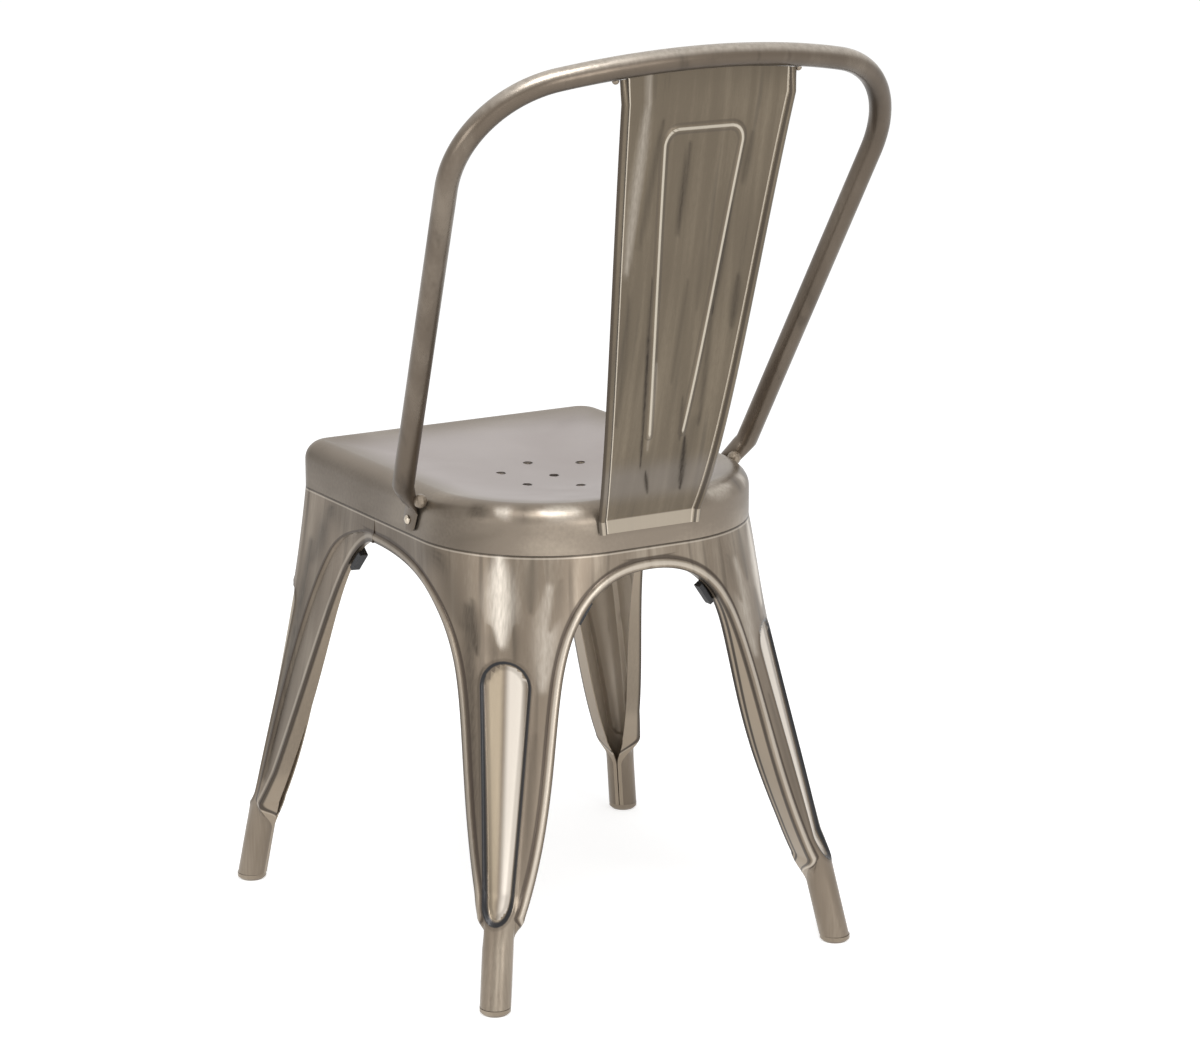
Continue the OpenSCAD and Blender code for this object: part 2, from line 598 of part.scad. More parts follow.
// Shares of the width, the lean and the rise at the two middle controls
splat_shares = [[0.33, 0.34, 0.19], [0.63, 0.615, 0.628]];
splat_line = concat([splat_bend],
    [for (q = splat_shares) [for (k = [0 : 2]) mix(splat_bend[k], splat_end[k], q[k])]],
    [splat_end]);
splat_stop = 0.955;
bead_foot_t = 0.26;
bead_top_t = 0.9;
bead_reach = 0.012;
function bead_fade(t) = clamp01((t - bead_foot_t) / (2 * bead_reach));
function bead_half(t) = mix(bead_foot_w, bead_top_w,
    clamp01((t - bead_foot_t) / (bead_top_t - bead_foot_t)));
// Half columns as [distance from the middle, height of the relief]
function splat_half(t, w) =
    let (b = bead_half(t), lift = bead_h * bead_fade(t),
         on_bar = abs(t - bead_top_t) < bead_reach, past = t > bead_top_t + bead_reach / 2,
         inner = on_bar ? lift : 0, leg = past && !on_bar ? 0 : lift)
    [[0, inner], [b - bead_w / 2, inner], [b - bead_w / 5, leg], [b + bead_w / 5, leg],
     [b + bead_w / 2, 0], [w - hem_w, 0], [w - hem_w * 0.75, hem_h],
     [w - hem_w * 0.25, hem_h], [w, 0]];
function splat_row(t) =
    let (p = bezier(splat_line, t), ahead = bezier(splat_line, min(1, t + 0.01)) - p,
         up = unit([0, ahead[1], ahead[2]]), out = [0, up[2], -up[1]],
         half = splat_half(t, p[0]), n = len(half))
    [for (k = [1 - n : n - 1]) let (c = half[abs(k)])
        [-sign(k) * c[0], p[1], p[2]] + c[1] * out];
// The tab narrows a little towards its foot
tab_taper = 0.97;
tab_rows = [for (drop = [splat_tab_h, sheet])
    [for (k = splat_row(0)) [k[0] * mix(1, tab_taper, drop / splat_tab_h),
        max(splat_face_y, k[1]), splat_bend[2] - drop]]];
// The top edge lies against the underside of the hoop, where the splat is as
// much wider as it grows on the way there
splat_grow = 1.012;
function under_hoop(p) =
    let (c = hoop_top_point(p[0] * splat_grow), d = unit([0, p[1] - c[1], p[2] - c[2]]))
    c + (tube_r + clear) * d;
top_row = [for (p = splat_row(splat_stop)) under_hoop(p)];
splat_rows = concat([0, 0.06, 0.13, 0.2, bead_foot_t, bead_foot_t + 2 * bead_reach],
                    [0.36, 0.48, 0.6, 0.7, 0.8],
                    [for (k = [-2, -0.5, 0.5, 2]) bead_top_t + k * bead_reach], [splat_stop]);
module back_splat() color(metal)
    sheet_from_grid(concat([top_row], [for (k = [len(splat_rows) - 1 : -1 : 0])
        splat_row(splat_rows[k])], [tab_rows[1], tab_rows[0]]), sheet);

// Weld at each top corner of the splat
splat_weld_r = 3.2;
splat_weld_place = [-1, -1, -tube_r - 0.5];
module splat_weld(left) color(metal) mirror([left ? 0 : 1, 0, 0]) difference() {
    translate(hoop_top_point(splat_top_w + splat_weld_r) + splat_weld_place)
        sphere(r = splat_weld_r);
    rod(hoop_top_point(splat_top_w - 2 * tube_r), hoop_top_point(splat_top_w + 2 * tube_r),
        tube_r + clear / 2, [0, 0, 1]);
}

// Cross braces: two pressed channels that lie over each other under the seat,
// their ends turned and shaped to the inside of the skirt.
brace_lift = 12;
brace_plate_h = seam_h + brace_lift;
module seat_plan(inset) polygon(seat_outline(inset));
brace_from = corner_line(true, seam_h);
brace_to = corner_line(false, seam_h);
brace_dir = brace_from + brace_to;
brace_turn = atan2(brace_dir[1], brace_dir[0]);
brace_mid_y = brace_from[1] - brace_from[0] * brace_dir[1] / brace_dir[0];
brace_taper = 0.5;
module brace_strip(inset) {
    half = brace_w / 2 - inset;
    long = norm(brace_dir);
    translate([0, brace_mid_y]) rotate(brace_turn)
        polygon([[-long, -half * brace_taper], [0, -half], [long, -half],
                 [long, half], [0, half], [-long, half * brace_taper]]);
}
// A brace drawn with its plate at the bottom and its edges turned up
module brace_form() difference() {
    union() {
        linear_extrude(brace_t) intersection() {
            brace_strip(0);
            seat_plan(sheet + clear);
        }
        linear_extrude(brace_edge) intersection() {
            difference() {
                brace_strip(0);
                brace_strip(brace_t);
            }
            seat_plan(sheet + clear);
        }
        linear_extrude(brace_edge) intersection() {
            brace_strip(0);
            difference() {
                seat_plan(sheet + clear);
                seat_plan(sheet + clear + brace_t);
            }
        }
    }
    translate([0, brace_mid_y, -1]) cylinder(h = brace_t + 2, d = bolt_d + 2 * clear);
}
module brace_upper() color(metal) translate([0, 0, brace_plate_h]) brace_form();
module brace_lower() color(metal) mirror([1, 0, 0]) translate([0, 0, brace_plate_h])
    mirror([0, 0, 1]) brace_form();

// Bolt, washer and nut where the braces cross, sized from the bolt
washer_t = bolt_d / 4;
nut_t = bolt_d * 0.8;
bolt_head_t = bolt_d * 0.6;
hex_d = bolt_d * 1.9;
module at_crossing(z) translate([0, brace_mid_y, z]) children();
module brace_bolt() color(bright) at_crossing(brace_plate_h - brace_t) {
    translate([0, 0, -bolt_head_t]) cylinder(h = bolt_head_t, d = hex_d, $fn = 6);
    cylinder(h = 2 * brace_t + 2 * washer_t + nut_t, d = bolt_d);
}
module brace_washer() color(bright) at_crossing(brace_plate_h + brace_t) difference() {
    cylinder(h = washer_t, d = hex_d * 1.1);
    translate([0, 0, -1]) cylinder(h = washer_t + 2, d = bolt_d + clear);
}
module brace_nut() color(bright) at_crossing(brace_plate_h + brace_t + washer_t) difference() {
    cylinder(h = nut_t, d = hex_d, $fn = 6);
    translate([0, 0, -1]) cylinder(h = nut_t + 2, d = bolt_d + clear / 3);
}

// Foot cap: a bevelled rim under the tube's end and a plug up inside it
plug_r = foot_r - sheet - 2.5 * clear;
function axis_point(rear, z) = let (p = foot_axis(rear, z)) [p[0], p[1], z];
module foot_cap(rear, left) color(metal)
    mirror([left ? 0 : 1, 0, 0]) mirror([0, rear ? 0 : 1, 0]) {
        rim = foot_axis(rear, cap_h / 2);
        translate([rim[0], rim[1], 0]) rotate_extrude()
            polygon([[0, 0], [foot_r - cap_bevel, 0], [foot_r, cap_bevel], [foot_r, cap_h],
                     [0, cap_h]]);
        rod(axis_point(rear, cap_h / 2), axis_point(rear, cap_h + plug_h), plug_r);
    }

// Stacking bumper: a plastic block with a slot that takes the flange's edge.
// Its place is a share of the way down the arch.
bumper_depth = 9;
bumper_side_t = 0.23;
bumper_rear_t = 0.28;
module bumper(rear, side, t) {
    function edge_at(t) = let (a = arch_s(rear, side, t))
        face_point(rear, (side ? 1 : -1) * a[0], a[1], -flange(rear, t));
    p = edge_at(t);
    along = edge_at(t + 0.03) - edge_at(t - 0.03);
    frame_to(p, along, side ? [1, 0, 0] : [0, 1, 0]) difference() {
        translate([-bumper_l / 2, -bumper_depth / 2, -bumper_depth * 0.7])
            cube([bumper_l, bumper_depth, bumper_depth * 1.4]);
        translate([-bumper_l, -clear, -bumper_depth / 4])
            cube([2 * bumper_l, bumper_depth, bumper_depth / 2]);
    }
}
module bumper_side(left) color(rubber) mirror([left ? 0 : 1, 0, 0]) mirror([0, 1, 0])
    bumper(false, true, bumper_side_t);
module bumper_rear(left) color(rubber) mirror([left ? 0 : 1, 0, 0])
    bumper(true, false, bumper_rear_t);

// The whole chair is moved back so that the origin is under its middle
chair_front = -front_foot_y - foot_r + foot_lean(false)[1] * cap_h / 2;
chair_back = hoop_top_point(0)[1] + tube_r;
module placed() translate([0, -(chair_front + chair_back) / 2, 0]) children();

placed() seat_pan();
placed() leg(false, true);  // leg_front_left
placed() leg(false, false);  // leg_front_right
placed() leg(true, true);  // leg_rear_left
placed() leg(true, false);  // leg_rear_right
placed() back_hoop();
placed() back_splat();
placed() hoop_rivet(true);  // hoop_rivet_left
placed() hoop_rivet(false);  // hoop_rivet_right
placed() hoop_weld(true);  // hoop_weld_left
placed() hoop_weld(false);  // hoop_weld_right
placed() splat_weld(true);  // splat_weld_left
placed() splat_weld(false);  // splat_weld_right
placed() brace_lower();
placed() brace_upper();
placed() brace_bolt();
placed() brace_washer();
placed() brace_nut();
placed() foot_cap(false, true);  // foot_cap_front_left
placed() foot_cap(false, false);  // foot_cap_front_right
placed() foot_cap(true, true);  // foot_cap_rear_left
placed() foot_cap(true, false);  // foot_cap_rear_right
placed() bumper_side(true);  // bumper_side_left
placed() bumper_side(false);  // bumper_side_right
placed() bumper_rear(true);  // bumper_rear_left
placed() bumper_rear(false);  // bumper_rear_right
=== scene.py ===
# The photograph's view: a white studio sweep, with the chair turned so that its
# back left leg stands nearest the camera. The imported model is loaded first, and
# the middle of its seat's box places the camera and the new pieces.
import math

import bpy
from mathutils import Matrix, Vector


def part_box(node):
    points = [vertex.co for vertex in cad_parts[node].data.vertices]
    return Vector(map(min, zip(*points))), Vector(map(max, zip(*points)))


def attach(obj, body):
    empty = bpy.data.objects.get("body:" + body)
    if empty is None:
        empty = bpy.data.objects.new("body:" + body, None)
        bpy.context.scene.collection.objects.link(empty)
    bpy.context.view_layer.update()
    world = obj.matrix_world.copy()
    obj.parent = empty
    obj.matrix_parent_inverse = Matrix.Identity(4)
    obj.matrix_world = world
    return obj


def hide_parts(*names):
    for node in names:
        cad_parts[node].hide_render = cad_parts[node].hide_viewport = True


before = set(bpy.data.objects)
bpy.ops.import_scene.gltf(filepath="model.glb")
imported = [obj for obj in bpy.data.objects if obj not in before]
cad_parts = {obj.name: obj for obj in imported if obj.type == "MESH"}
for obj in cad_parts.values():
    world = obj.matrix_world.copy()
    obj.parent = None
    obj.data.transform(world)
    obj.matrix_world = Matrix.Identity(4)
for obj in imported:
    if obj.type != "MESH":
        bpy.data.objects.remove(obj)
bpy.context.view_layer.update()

seat_low, seat_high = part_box("seat_pan")
seat_mid_y = (seat_low[1] + seat_high[1]) / 2
scene = bpy.context.scene
scene.view_settings.view_transform = "Standard"


def linear(code):
    """The linear colour of an sRGB hex code."""
    parts = [int(code[k:k + 2], 16) / 255 for k in (1, 3, 5)]
    return tuple(c / 12.92 if c <= 0.04045 else ((c + 0.055) / 1.055) ** 2.4 for c in parts) + (1,)


def add(tree, kind, settings=None, **inputs):
    """Adds a node with its settings, and feeds its inputs with values or sockets."""
    node = tree.nodes.new(kind)
    for name, value in (settings or {}).items():
        setattr(node, name, value)
    for name, value in inputs.items():
        key = int(name[1:]) if name[0] == "_" else name.replace("_", " ")
        if isinstance(value, bpy.types.NodeSocket):
            tree.links.new(value, node.inputs[key])
        else:
            node.inputs[key].default_value = value
    return node


def seen_directly(tree):
    """A socket that is 1 for what is seen directly, in metal or through glass."""
    ray = add(tree, "ShaderNodeLightPath").outputs
    through = add(tree, "ShaderNodeMath", {"operation": "MAXIMUM"}, _0=ray["Is Camera Ray"],
                  _1=ray["Is Transmission Ray"]).outputs[0]
    return add(tree, "ShaderNodeMath", {"operation": "MAXIMUM"}, _0=through,
               _1=ray["Is Glossy Ray"]).outputs[0]


def new_material(name):
    """A material with an empty node tree, and that tree."""
    material = bpy.data.materials.new(name)
    material.use_nodes = True
    material.node_tree.nodes.clear()
    return material, material.node_tree


# The photograph was taken from 3.6 m away. Its place was solved against a middle
# that lies 13.5 mm behind the middle of the seat.
solved_mid_y = seat_mid_y + 0.0135
camera = bpy.data.objects.new("camera", bpy.data.cameras.new("camera"))
scene.collection.objects.link(camera)
camera.data.sensor_width = 36
camera.data.lens = 111.7
camera.location = (1.67646, 2.91573 + solved_mid_y, 1.2259)
toward_camera = Vector((0.4948, 0.8338, 0.2453))
camera.rotation_euler = (-toward_camera).to_track_quat("-Z", "Y").to_euler()
scene.camera = camera

world = bpy.data.worlds.new("studio")
scene.world = world
world.use_nodes = True
sky = world.node_tree
sky.nodes.clear()
room = add(sky, "ShaderNodeBackground", Color=linear("#ffffff"), Strength=0.55)
backdrop = add(sky, "ShaderNodeBackground", Color=linear("#ffffff"), Strength=1.0)
both = add(sky, "ShaderNodeMixShader", _0=seen_directly(sky), _1=room.outputs[0],
           _2=backdrop.outputs[0])
add(sky, "ShaderNodeOutputWorld", Surface=both.outputs[0])

# Square soft boxes a metre wide, turned to the middle of the chair: place, watts
soft_boxes = {
    "soft_box_above": ((0.5, 0.9, 2.4), 34),
    "soft_box_left": ((2.6, 0.6, 0.9), 9),
    "soft_box_right": ((-0.3, 3.0, 0.9), 20),
    "soft_box_low": ((1.7, 3.1, 0.35), 5),
}
chair_middle = Vector((0, 0, 0.45))
for name, (place, power) in soft_boxes.items():
    lamp = bpy.data.objects.new(name, bpy.data.lights.new(name, "AREA"))
    lamp.data.size = 1.0
    lamp.data.energy = power
    lamp.location = place
    lamp.rotation_euler = (Vector(place) - chair_middle).to_track_quat("Z", "Y").to_euler()
    scene.collection.objects.link(lamp)

floor_mesh = bpy.data.meshes.new("studio_floor")
floor_reach = 9
floor_corners = [(x * floor_reach, y * floor_reach, 0)
                 for x, y in ((-1, -1), (1, -1), (1, 1), (-1, 1))]
floor_mesh.from_pydata(floor_corners, [], [(0, 1, 2, 3)])
floor = bpy.data.objects.new("studio_floor", floor_mesh)
scene.collection.objects.link(floor)
# White matte paper, which keeps the chair's soft shadow and is lifted to white
# where it is seen.
paper, paper_tree = new_material("white_studio_paper")
matte = add(paper_tree, "ShaderNodeBsdfDiffuse", Color=linear("#e6e6e6"))
glow = add(paper_tree, "ShaderNodeEmission", Color=linear("#ffffff"), Strength=0.6)
lift = add(paper_tree, "ShaderNodeAddShader", _0=matte.outputs[0], _1=glow.outputs[0])
shown = add(paper_tree, "ShaderNodeMixShader", _0=seen_directly(paper_tree),
            _1=matte.outputs[0], _2=lift.outputs[0])
add(paper_tree, "ShaderNodeOutputMaterial", Surface=shown.outputs[0])
floor_mesh.materials.append(paper)

# Legs: four pressings of 1.2 mm sheet steel, each folded round one corner of the
# seat and rolled into a 28 mm foot tube. A raised border follows both arches, the
# edge is turned in as a flange, and a teardrop recess runs down into the foot.
MM = 0.001
sheet = 1.2
clear = 0.3
# The seat, which the tops of the legs follow, with the height of its skirt as seat_side
seat_w, seat_d, seat_h, seat_side = 326, 379, 438, 44
seat_back_r, seat_front_r = 125, 27
seam_h = seat_h - seat_side
# The foot tube: its radius, the height where it ends, where the leg opens, and its cap
foot_r, knee_h, open_h, cap_h = 14, 62, 83, 6
# The teardrop recess: its round top and foot, its pressed step, floor, ridge and lip
recess_top_h, recess_r = 278.5, 21.5
recess_u_h, recess_foot_r = 96, 10.5
step_w, recess_low_deep, recess_top_deep = 3, 5.5, 3
ridge_h, lip_h, lip_off, lip_w = 1.4, 0.7, 2.6, 1.3
# The raised border along the arches, the wider wing of the front legs' sides, and the
# turned-in flange, at its top and low on the leg
border_w, border_h = 9.5, 2
wing_w, wing_drop, wing_lip = 26, 3, 0.28
flange_w, flange_low_w = 13, 30
# Each leg's place on the floor, its lean per mm of height at the foot and at the seat,
# the radius of its corner at the seat, how much rounder it is above the opening, the
# share and the loss of the flange's growth, and the arches along its side and its end:
# the middle, the height of the top, and the shares that bend the curve to the foot.
# turn is 1 behind and -1 in front.
legs = {
    "rear": dict(foot=(181.5, 228.4), lean=(0.165, 0.193), head=(0.12, 0.2), r=seat_back_r,
                 ease=12, flange=(1, 0), turn=1,
                 side=(-26.5, 370.5, (0.6874, 0.5123, 0.8818, 0.36)),
                 end=(0, 373, (0.6501, 0.4656, 0.8292, 0.5))),
    "front": dict(foot=(211.9, 206.2), lean=(0.143, 0.132), head=(0.087, 0.084), r=seat_front_r,
                  ease=3, flange=(0.6, 3), turn=-1,
                  side=(26.5, 370.5, (0.517, 0.5892, 0.8594, 0.61)),
                  end=(0, 373, (0.7154, 0.6088, 0.8537, 0.56))),
}


def mix(a, b, t):
    return a + (b - a) * t


def clamp(t):
    return min(1, max(0, t))


def ease(t):
    """A smooth step from 0 to 1."""
    t = clamp(t)
    return t * t * (3 - 2 * t)


def bow(t):
    """0 at both ends and 1 in the middle."""
    return 4 * t * (1 - t)


def wiping_and_painted_light(x, y, strokes):
    """How dark the strokes paint a place, below 0 where it is pale. The strokes are dark
    smudges, painted shade and painted highlights, each from (x, y) to (x, y), with a half width and
    a share."""
    value = 0
    for ax, ay, bx, by, half, share in strokes:
        run = Vector((bx - ax, by - ay))
        t = clamp(Vector((x - ax, y - ay)).dot(run) / run.length_squared)
        off = math.hypot(x - ax - t * run.x, y - ay - t * run.y) / (half * (0.4 + 0.6 * bow(t)))
        value += share * math.exp(-off * off)
    return value


def bezier(p, t):
    """A point of the cubic curve with four control points."""
    u = 1 - t
    return tuple(u ** 3 * a + 3 * u * u * t * b + 3 * u * t * t * c + t ** 3 * d
                 for a, b, c, d in zip(*p))


def corner(leg, z):
    """Middle and radius of the rounded corner of a leg's plan at a height."""
    foot, lean, head, r = leg["foot"], leg["lean"], leg["head"], leg["r"]
    half = math.sqrt(0.5)
    share = (z - knee_h) / (seam_h - knee_h)
    more = leg["ease"] * ease((z - knee_h) / (open_h - knee_h) - 1) * (
        1 - ease((z - recess_top_h) / (seam_h - recess_top_h)))
    knee = [foot[k] - knee_h * lean[k] + foot_r * half for k in (0, 1)]
    top = [(seat_w, seat_d)[k] / 2 - r + r * half for k in (0, 1)]
    rise = (seam_h - knee_h) / 3
    if z <= knee_h:
        line, plain = [foot[k] - z * lean[k] + foot_r * half for k in (0, 1)], foot_r
    else:
        line = bezier([knee, [knee[k] - rise * lean[k] for k in (0, 1)],
                       [top[k] + rise * head[k] for k in (0, 1)], top], share)
        plain = mix(foot_r, r, share)
    return [line[k] - plain * half - more for k in (0, 1)], plain + more


def face_point(leg, s, z, h):
    """A point of a leg's face, s round its plan, at a height and raised by h."""
    mid, r = corner(leg, z)
    turn = -1 if s < 0 else 1
    arc = min(abs(s), r * math.pi / 4)
    a = math.pi / 4 - turn * arc / r
    run = abs(s) - arc
    return (mid[0] + (r + h) * math.cos(a) + turn * run * math.sin(a),
            mid[1] + (r + h) * math.sin(a) - turn * run * math.cos(a), z)


def arch_at(leg, side, t):
    """The arch's edge as (s, height) on the leg's face."""
    apex, top, share = leg["side" if side else "end"]
    foot = leg["foot"][1 if side else 0]
    along, z = bezier([(apex, top), (foot * share[0], top),
                       (foot * share[1], mix(top, open_h, share[3])),
                       (foot * share[2], open_h)], t)
    mid, r = corner(leg, z)
    along -= mid[1 if side else 0]
    if along < 0:
        return r * math.pi / 4 - along, z
    return r * (math.pi / 4 - math.asin(min(0.7, along / r))), z


def recess_width(z):
    return mix(recess_foot_r, recess_r, clamp((z - knee_h) / (recess_top_h - knee_h)))


def recess_distance(s, z):
    """Distance outside the outline of the teardrop recess, negative inside it."""
    if z > recess_top_h:
        return math.hypot(s, z - recess_top_h) - recess_r
    if z < recess_u_h:
        return math.hypot(s, (z - recess_u_h) * 0.8) - recess_width(recess_u_h)
    return abs(s) - recess_width(z)


def relief(s, z):
    """Height of the recess's floor, ridge and lip on the face."""
    d = recess_distance(s, z)
    deep = mix(recess_low_deep, recess_top_deep,
               clamp((z - open_h) / (recess_top_h - open_h)))
    inside = ease((step_w / 2 - d) / step_w)
    ridge = ridge_h * clamp(1 - abs(s) / max(1, recess_width(z) - step_w / 2))
    lip = lip_h * math.exp(-((d - lip_off) / lip_w) ** 2)
    return lip - inside * max(0, deep - ridge)


# Marks on a leg: (place across, height) to (place across, height), half width, share.
# The sides are darkened on every leg as painted shade, and the back legs carry painted
# highlights in the middle among dark smudges.
# Painted shade: broad dark bands on the side of every leg
side_painted_shade = [(37, 345, 24, 110, 11, 0.6), (190, 384, 75, 384, 30, 0.42),
                (70, 385, 45, 330, 14, 0.35)]
leg_smudges_and_painted_light = {
    "rear": side_painted_shade + [
        # Dark smudges, and two painted highlights down the middle with shares below 0
        (31, 352, 27, 306, 5, 0.55), (14, 330, 13, 303, 6, 0.3), (-11, 334, -10, 304, 3, 0.35),
        (-25, 392, -23, 346, 6, 0.45), (-50, 372, -40, 330, 6, 0.25),
        (-29, 240, -22, 110, 5, 0.3), (5, 390, 4, 318, 11, -0.75), (-40, 366, -34, 280, 10, -0.3),
    ],
    # The front legs: a broad painted shade on the side, and a dark smudge
    "front": side_painted_shade + [(60, 360, 45, 120, 26, 0.3), (-30, 330, -22, 110, 8, 0.3)],
}
# Columns of the mesh: over the flange as (across, share of its depth), over the border as
# shares of its width, down the flank between border and recess, over the recess's step
# as distances from its outline, and over its floor as shares of what is left
flange_columns = [(0, 1), (0, 0.66), (0, 0.36), (0, 0.14), (0.1, 0.05)]
border_columns = [0.05, 0.13, 0.22, 0.33, 0.45, 0.57, 0.69, 0.8, 0.9, 0.97]
flank_columns = 14
step_columns = [6, 4.2, 3, 2.2, 1.5, 0.75, 0, -0.75, -1.5, -2.3]
floor_columns = [0.75, 0.5, 0.25]
# Round the rolled foot each part of the sheet keeps its share of the way, up to 12: the
# flange 1, the border 3, the flank 6, the recess's step 1 and its floor 1
border_at, flank_at, step_at, floor_at, middle_at = 1, 4, 10, 11, 12
# On the flange border_mm is one of these numbers plus the distance from its free edge,
# and lines are painted at the first one only. Far is past the reach of any line.
lined_flange, plain_flange, far = 200, 300, 99


def half_row(leg, side, z, level):
    """Points of a half row, from the flange to the recess: place across and height on
    the face, relief, distance from the arch and from the border, place on the foot."""
    low = max(z, open_h)
    w = (seam_h - low) / (seam_h - open_h)
    t = w ** 0.7  # denser near the top, where the arch turns
    e = arch_at(leg, side, t)
    a, b = arch_at(leg, side, min(1, t + 0.01)), arch_at(leg, side, max(0.001, t - 0.01))
    n = (a[1] - b[1], b[0] - a[0])
    n = (0, 1) if t == 0 else (n[0] / math.hypot(*n), n[1] / math.hypot(*n))
    growth, loss = leg["flange"]
    flange = mix(flange_w, flange_low_w, growth * ease((t - 0.25) / 0.55)) - loss
    wing = side and leg["turn"] < 0
    wide = border_w + (wing_w * bow(t) * ease(t / 0.3) if wing else 0)
    sunk = border_h / 2 - (wing_drop + border_h / 2) * min(1, 3 * bow(t))
    start = (e[0] + wide * n[0], e[1] + wide * n[1])
    drop = z - low
    points = []
    free_edge = lined_flange if leg["turn"] > 0 else plain_flange
    for across, depth in flange_columns:
        points.append((e[0] + across * n[0], e[1] + across * n[1] + drop,
                       mix(sunk if wing else 0, -flange, depth),
                       -flange * depth, free_edge + flange * (1 - depth),
                       border_at * (1 - depth)))
    for u in border_columns:
        if wing:
            rise = wing_lip * border_w / wide
            h = mix(sunk, 0, ease((u - 1 + rise) / rise))
        else:
            h = border_h * math.sin(math.pi * u) ** 0.7
        points.append((e[0] + u * wide * n[0], e[1] + u * wide * n[1] + drop, h, u * wide,
                       (u - 1) * wide, mix(border_at, flank_at, u)))
    width = recess_width(min(z, recess_top_h))
    steps = [width + d for d in step_columns]
    steps += [share * steps[-1] for share in floor_columns]
    fit = min(1, (start[0] - 1) / steps[0])
    steps = [s * fit for s in steps]
    flank = [mix(start[0], steps[0], k / flank_columns) for k in range(flank_columns)]
    outer, edge = (width + step_w / 2) * fit, (width - step_w / 2) * fit
    for s in flank + steps:
        if s > outer:
            index = mix(flank_at, step_at, (start[0] - s) / (start[0] - outer))
        elif s > edge:
            index = mix(step_at, floor_at, (outer - s) / (outer - edge))
        else:
            index = mix(floor_at, middle_at, (edge - s) / edge)
        height = mix(seam_h, mix(start[1] + drop, z, (start[0] - s) / start[0]), level)
        past = (s - start[0]) * n[0] + (height - start[1] - drop) * n[1]
        points.append((s, height, relief(s, height), wide + past, past, index))
    return points


half_tube = math.radians(178)
line_fade = 40


def recess_floor(s, d):
    """Place across the recess's floor, sent far off outside its outline."""
    return s + 60 * max(0, d + 0.8)


def leg_row(leg, z, border=True, level=1):
    """A whole row round the leg, rolled into the tube towards the foot. Level 0 lifts it
    to a level line at the seam. Each entry is a point and its attributes."""
    roll = ease((open_h - z) / (open_h - knee_h + 10))
    foot_mid = [leg["foot"][k] - z * leg["lean"][k] for k in (0, 1)]
    halves = []
    for side in (True, False):
        turn = 1 if side else -1
        made = []
        points = half_row(leg, side, z, level)
        if not border:
            points = points[len(flange_columns) + len(border_columns):]
        for s, height, h, edge, rim, index in points:
            p = face_point(leg, turn * s, height, h)
            p = (max(leg["end"][0], p[0]), max(leg["side"][0], p[1]), p[2])
            a = math.pi / 4 - turn * half_tube * (1 - index / middle_at)
            q = (foot_mid[0] + foot_r * math.cos(a), foot_mid[1] + foot_r * math.sin(a), z)
            d = recess_distance(s, height)
            edge += line_fade * roll
            made.append((tuple(mix(p[k], q[k], roll) for k in range(3)), far if side else edge,
                         edge if side else far, rim + line_fade * roll, d, turn * s,
                         recess_floor(turn * s, d), seam_h - height,
                         wiping_and_painted_light(turn * s, height, leg["strokes"])))
        halves.append(made)
    p = face_point(leg, 0, z, relief(0, z))
    q = [foot_mid[k] + foot_r * math.sqrt(0.5) for k in (0, 1)] + [z]
    d = recess_distance(0, z)
    middle = (tuple(mix(p[k], q[k], roll) for k in range(3)), far, far, far, d, 0,
              recess_floor(0, d), seam_h - z, wiping_and_painted_light(0, z, leg["strokes"]))
    return halves[0] + [middle] + halves[1][::-1]


def settled(piece):
    """Makes a piece's modifiers into its plain mesh."""
    shape = bpy.data.meshes.new_from_object(
        piece.evaluated_get(bpy.context.evaluated_depsgraph_get()))
    piece.modifiers.clear()
    piece.data = shape
    return shape


def finished(name, grid_list, mirror_x, mirror_y, attributes, material, wall, inside=None,
             smooth_to=35):
    """A mesh of one or more grids of (point, attributes...), given its wall inwards."""
    mesh = bpy.data.meshes.new(name)
    verts, faces, values = [], [], []
    flip = (mirror_x < 0) != (mirror_y < 0)
    for rows in grid_list:
        start, n = len(verts), len(rows[0])
        for row in rows:
            for entry in row:
                p = entry[0]
                verts.append((p[0] * mirror_x * MM, p[1] * mirror_y * MM + seat_mid_y, p[2] * MM))
                values.append(entry[1:])
        for i in range(len(rows) - 1):
            for j in range(n - 1):
                a = start + i * n + j
                quad = (a, a + n, a + n + 1, a + 1)
                faces.append(quad if flip else quad[::-1])
    mesh.from_pydata(verts, [], faces)
    for k, attribute in enumerate(attributes):
        layer = mesh.attributes.new(attribute, "FLOAT", "POINT")
        layer.data.foreach_set("value", [v[k] for v in values])
    mesh.materials.append(material)
    mesh.materials.append(inside or material)
    piece = bpy.data.objects.new(name, mesh)
    scene.collection.objects.link(piece)
    weld = piece.modifiers.new("joined rows", "WELD")
    weld.merge_threshold = 0.00002
    if wall:
        thick = piece.modifiers.new("sheet", "SOLIDIFY")
        thick.thickness = wall * MM
        thick.offset = -1
        thick.material_offset = 1
    shape = settled(piece)
    shape.shade_smooth()
    shape.set_sharp_from_angle(angle=math.radians(smooth_to))
    return piece


# The finish of the whole chair: sheet steel under a brushed antique lacquer, a
# warm grey-brown metal tone that is wiped back to cream in long strokes, with
# painted shade in the creases. The strokes run along each piece, 12 to 33 mm wide,
# and lie broader on the seat. The fine brushing in them is drawn 1.6 to 4 mm wide,
# coarser than the real one, so that it shows.
tone_reach = 0.3
cloud_size = 111.1
mark_size = (10.53, 10.53, 200)
# The small marks' dark; the dark of smudges and painted shade; the cream of wiping and painted
# highlights
mark_colour, unwiped_and_painted_shade_colour, wiped_and_painted_highlight_colour = "#3b332a", "#30281f", "#e6ddd0"


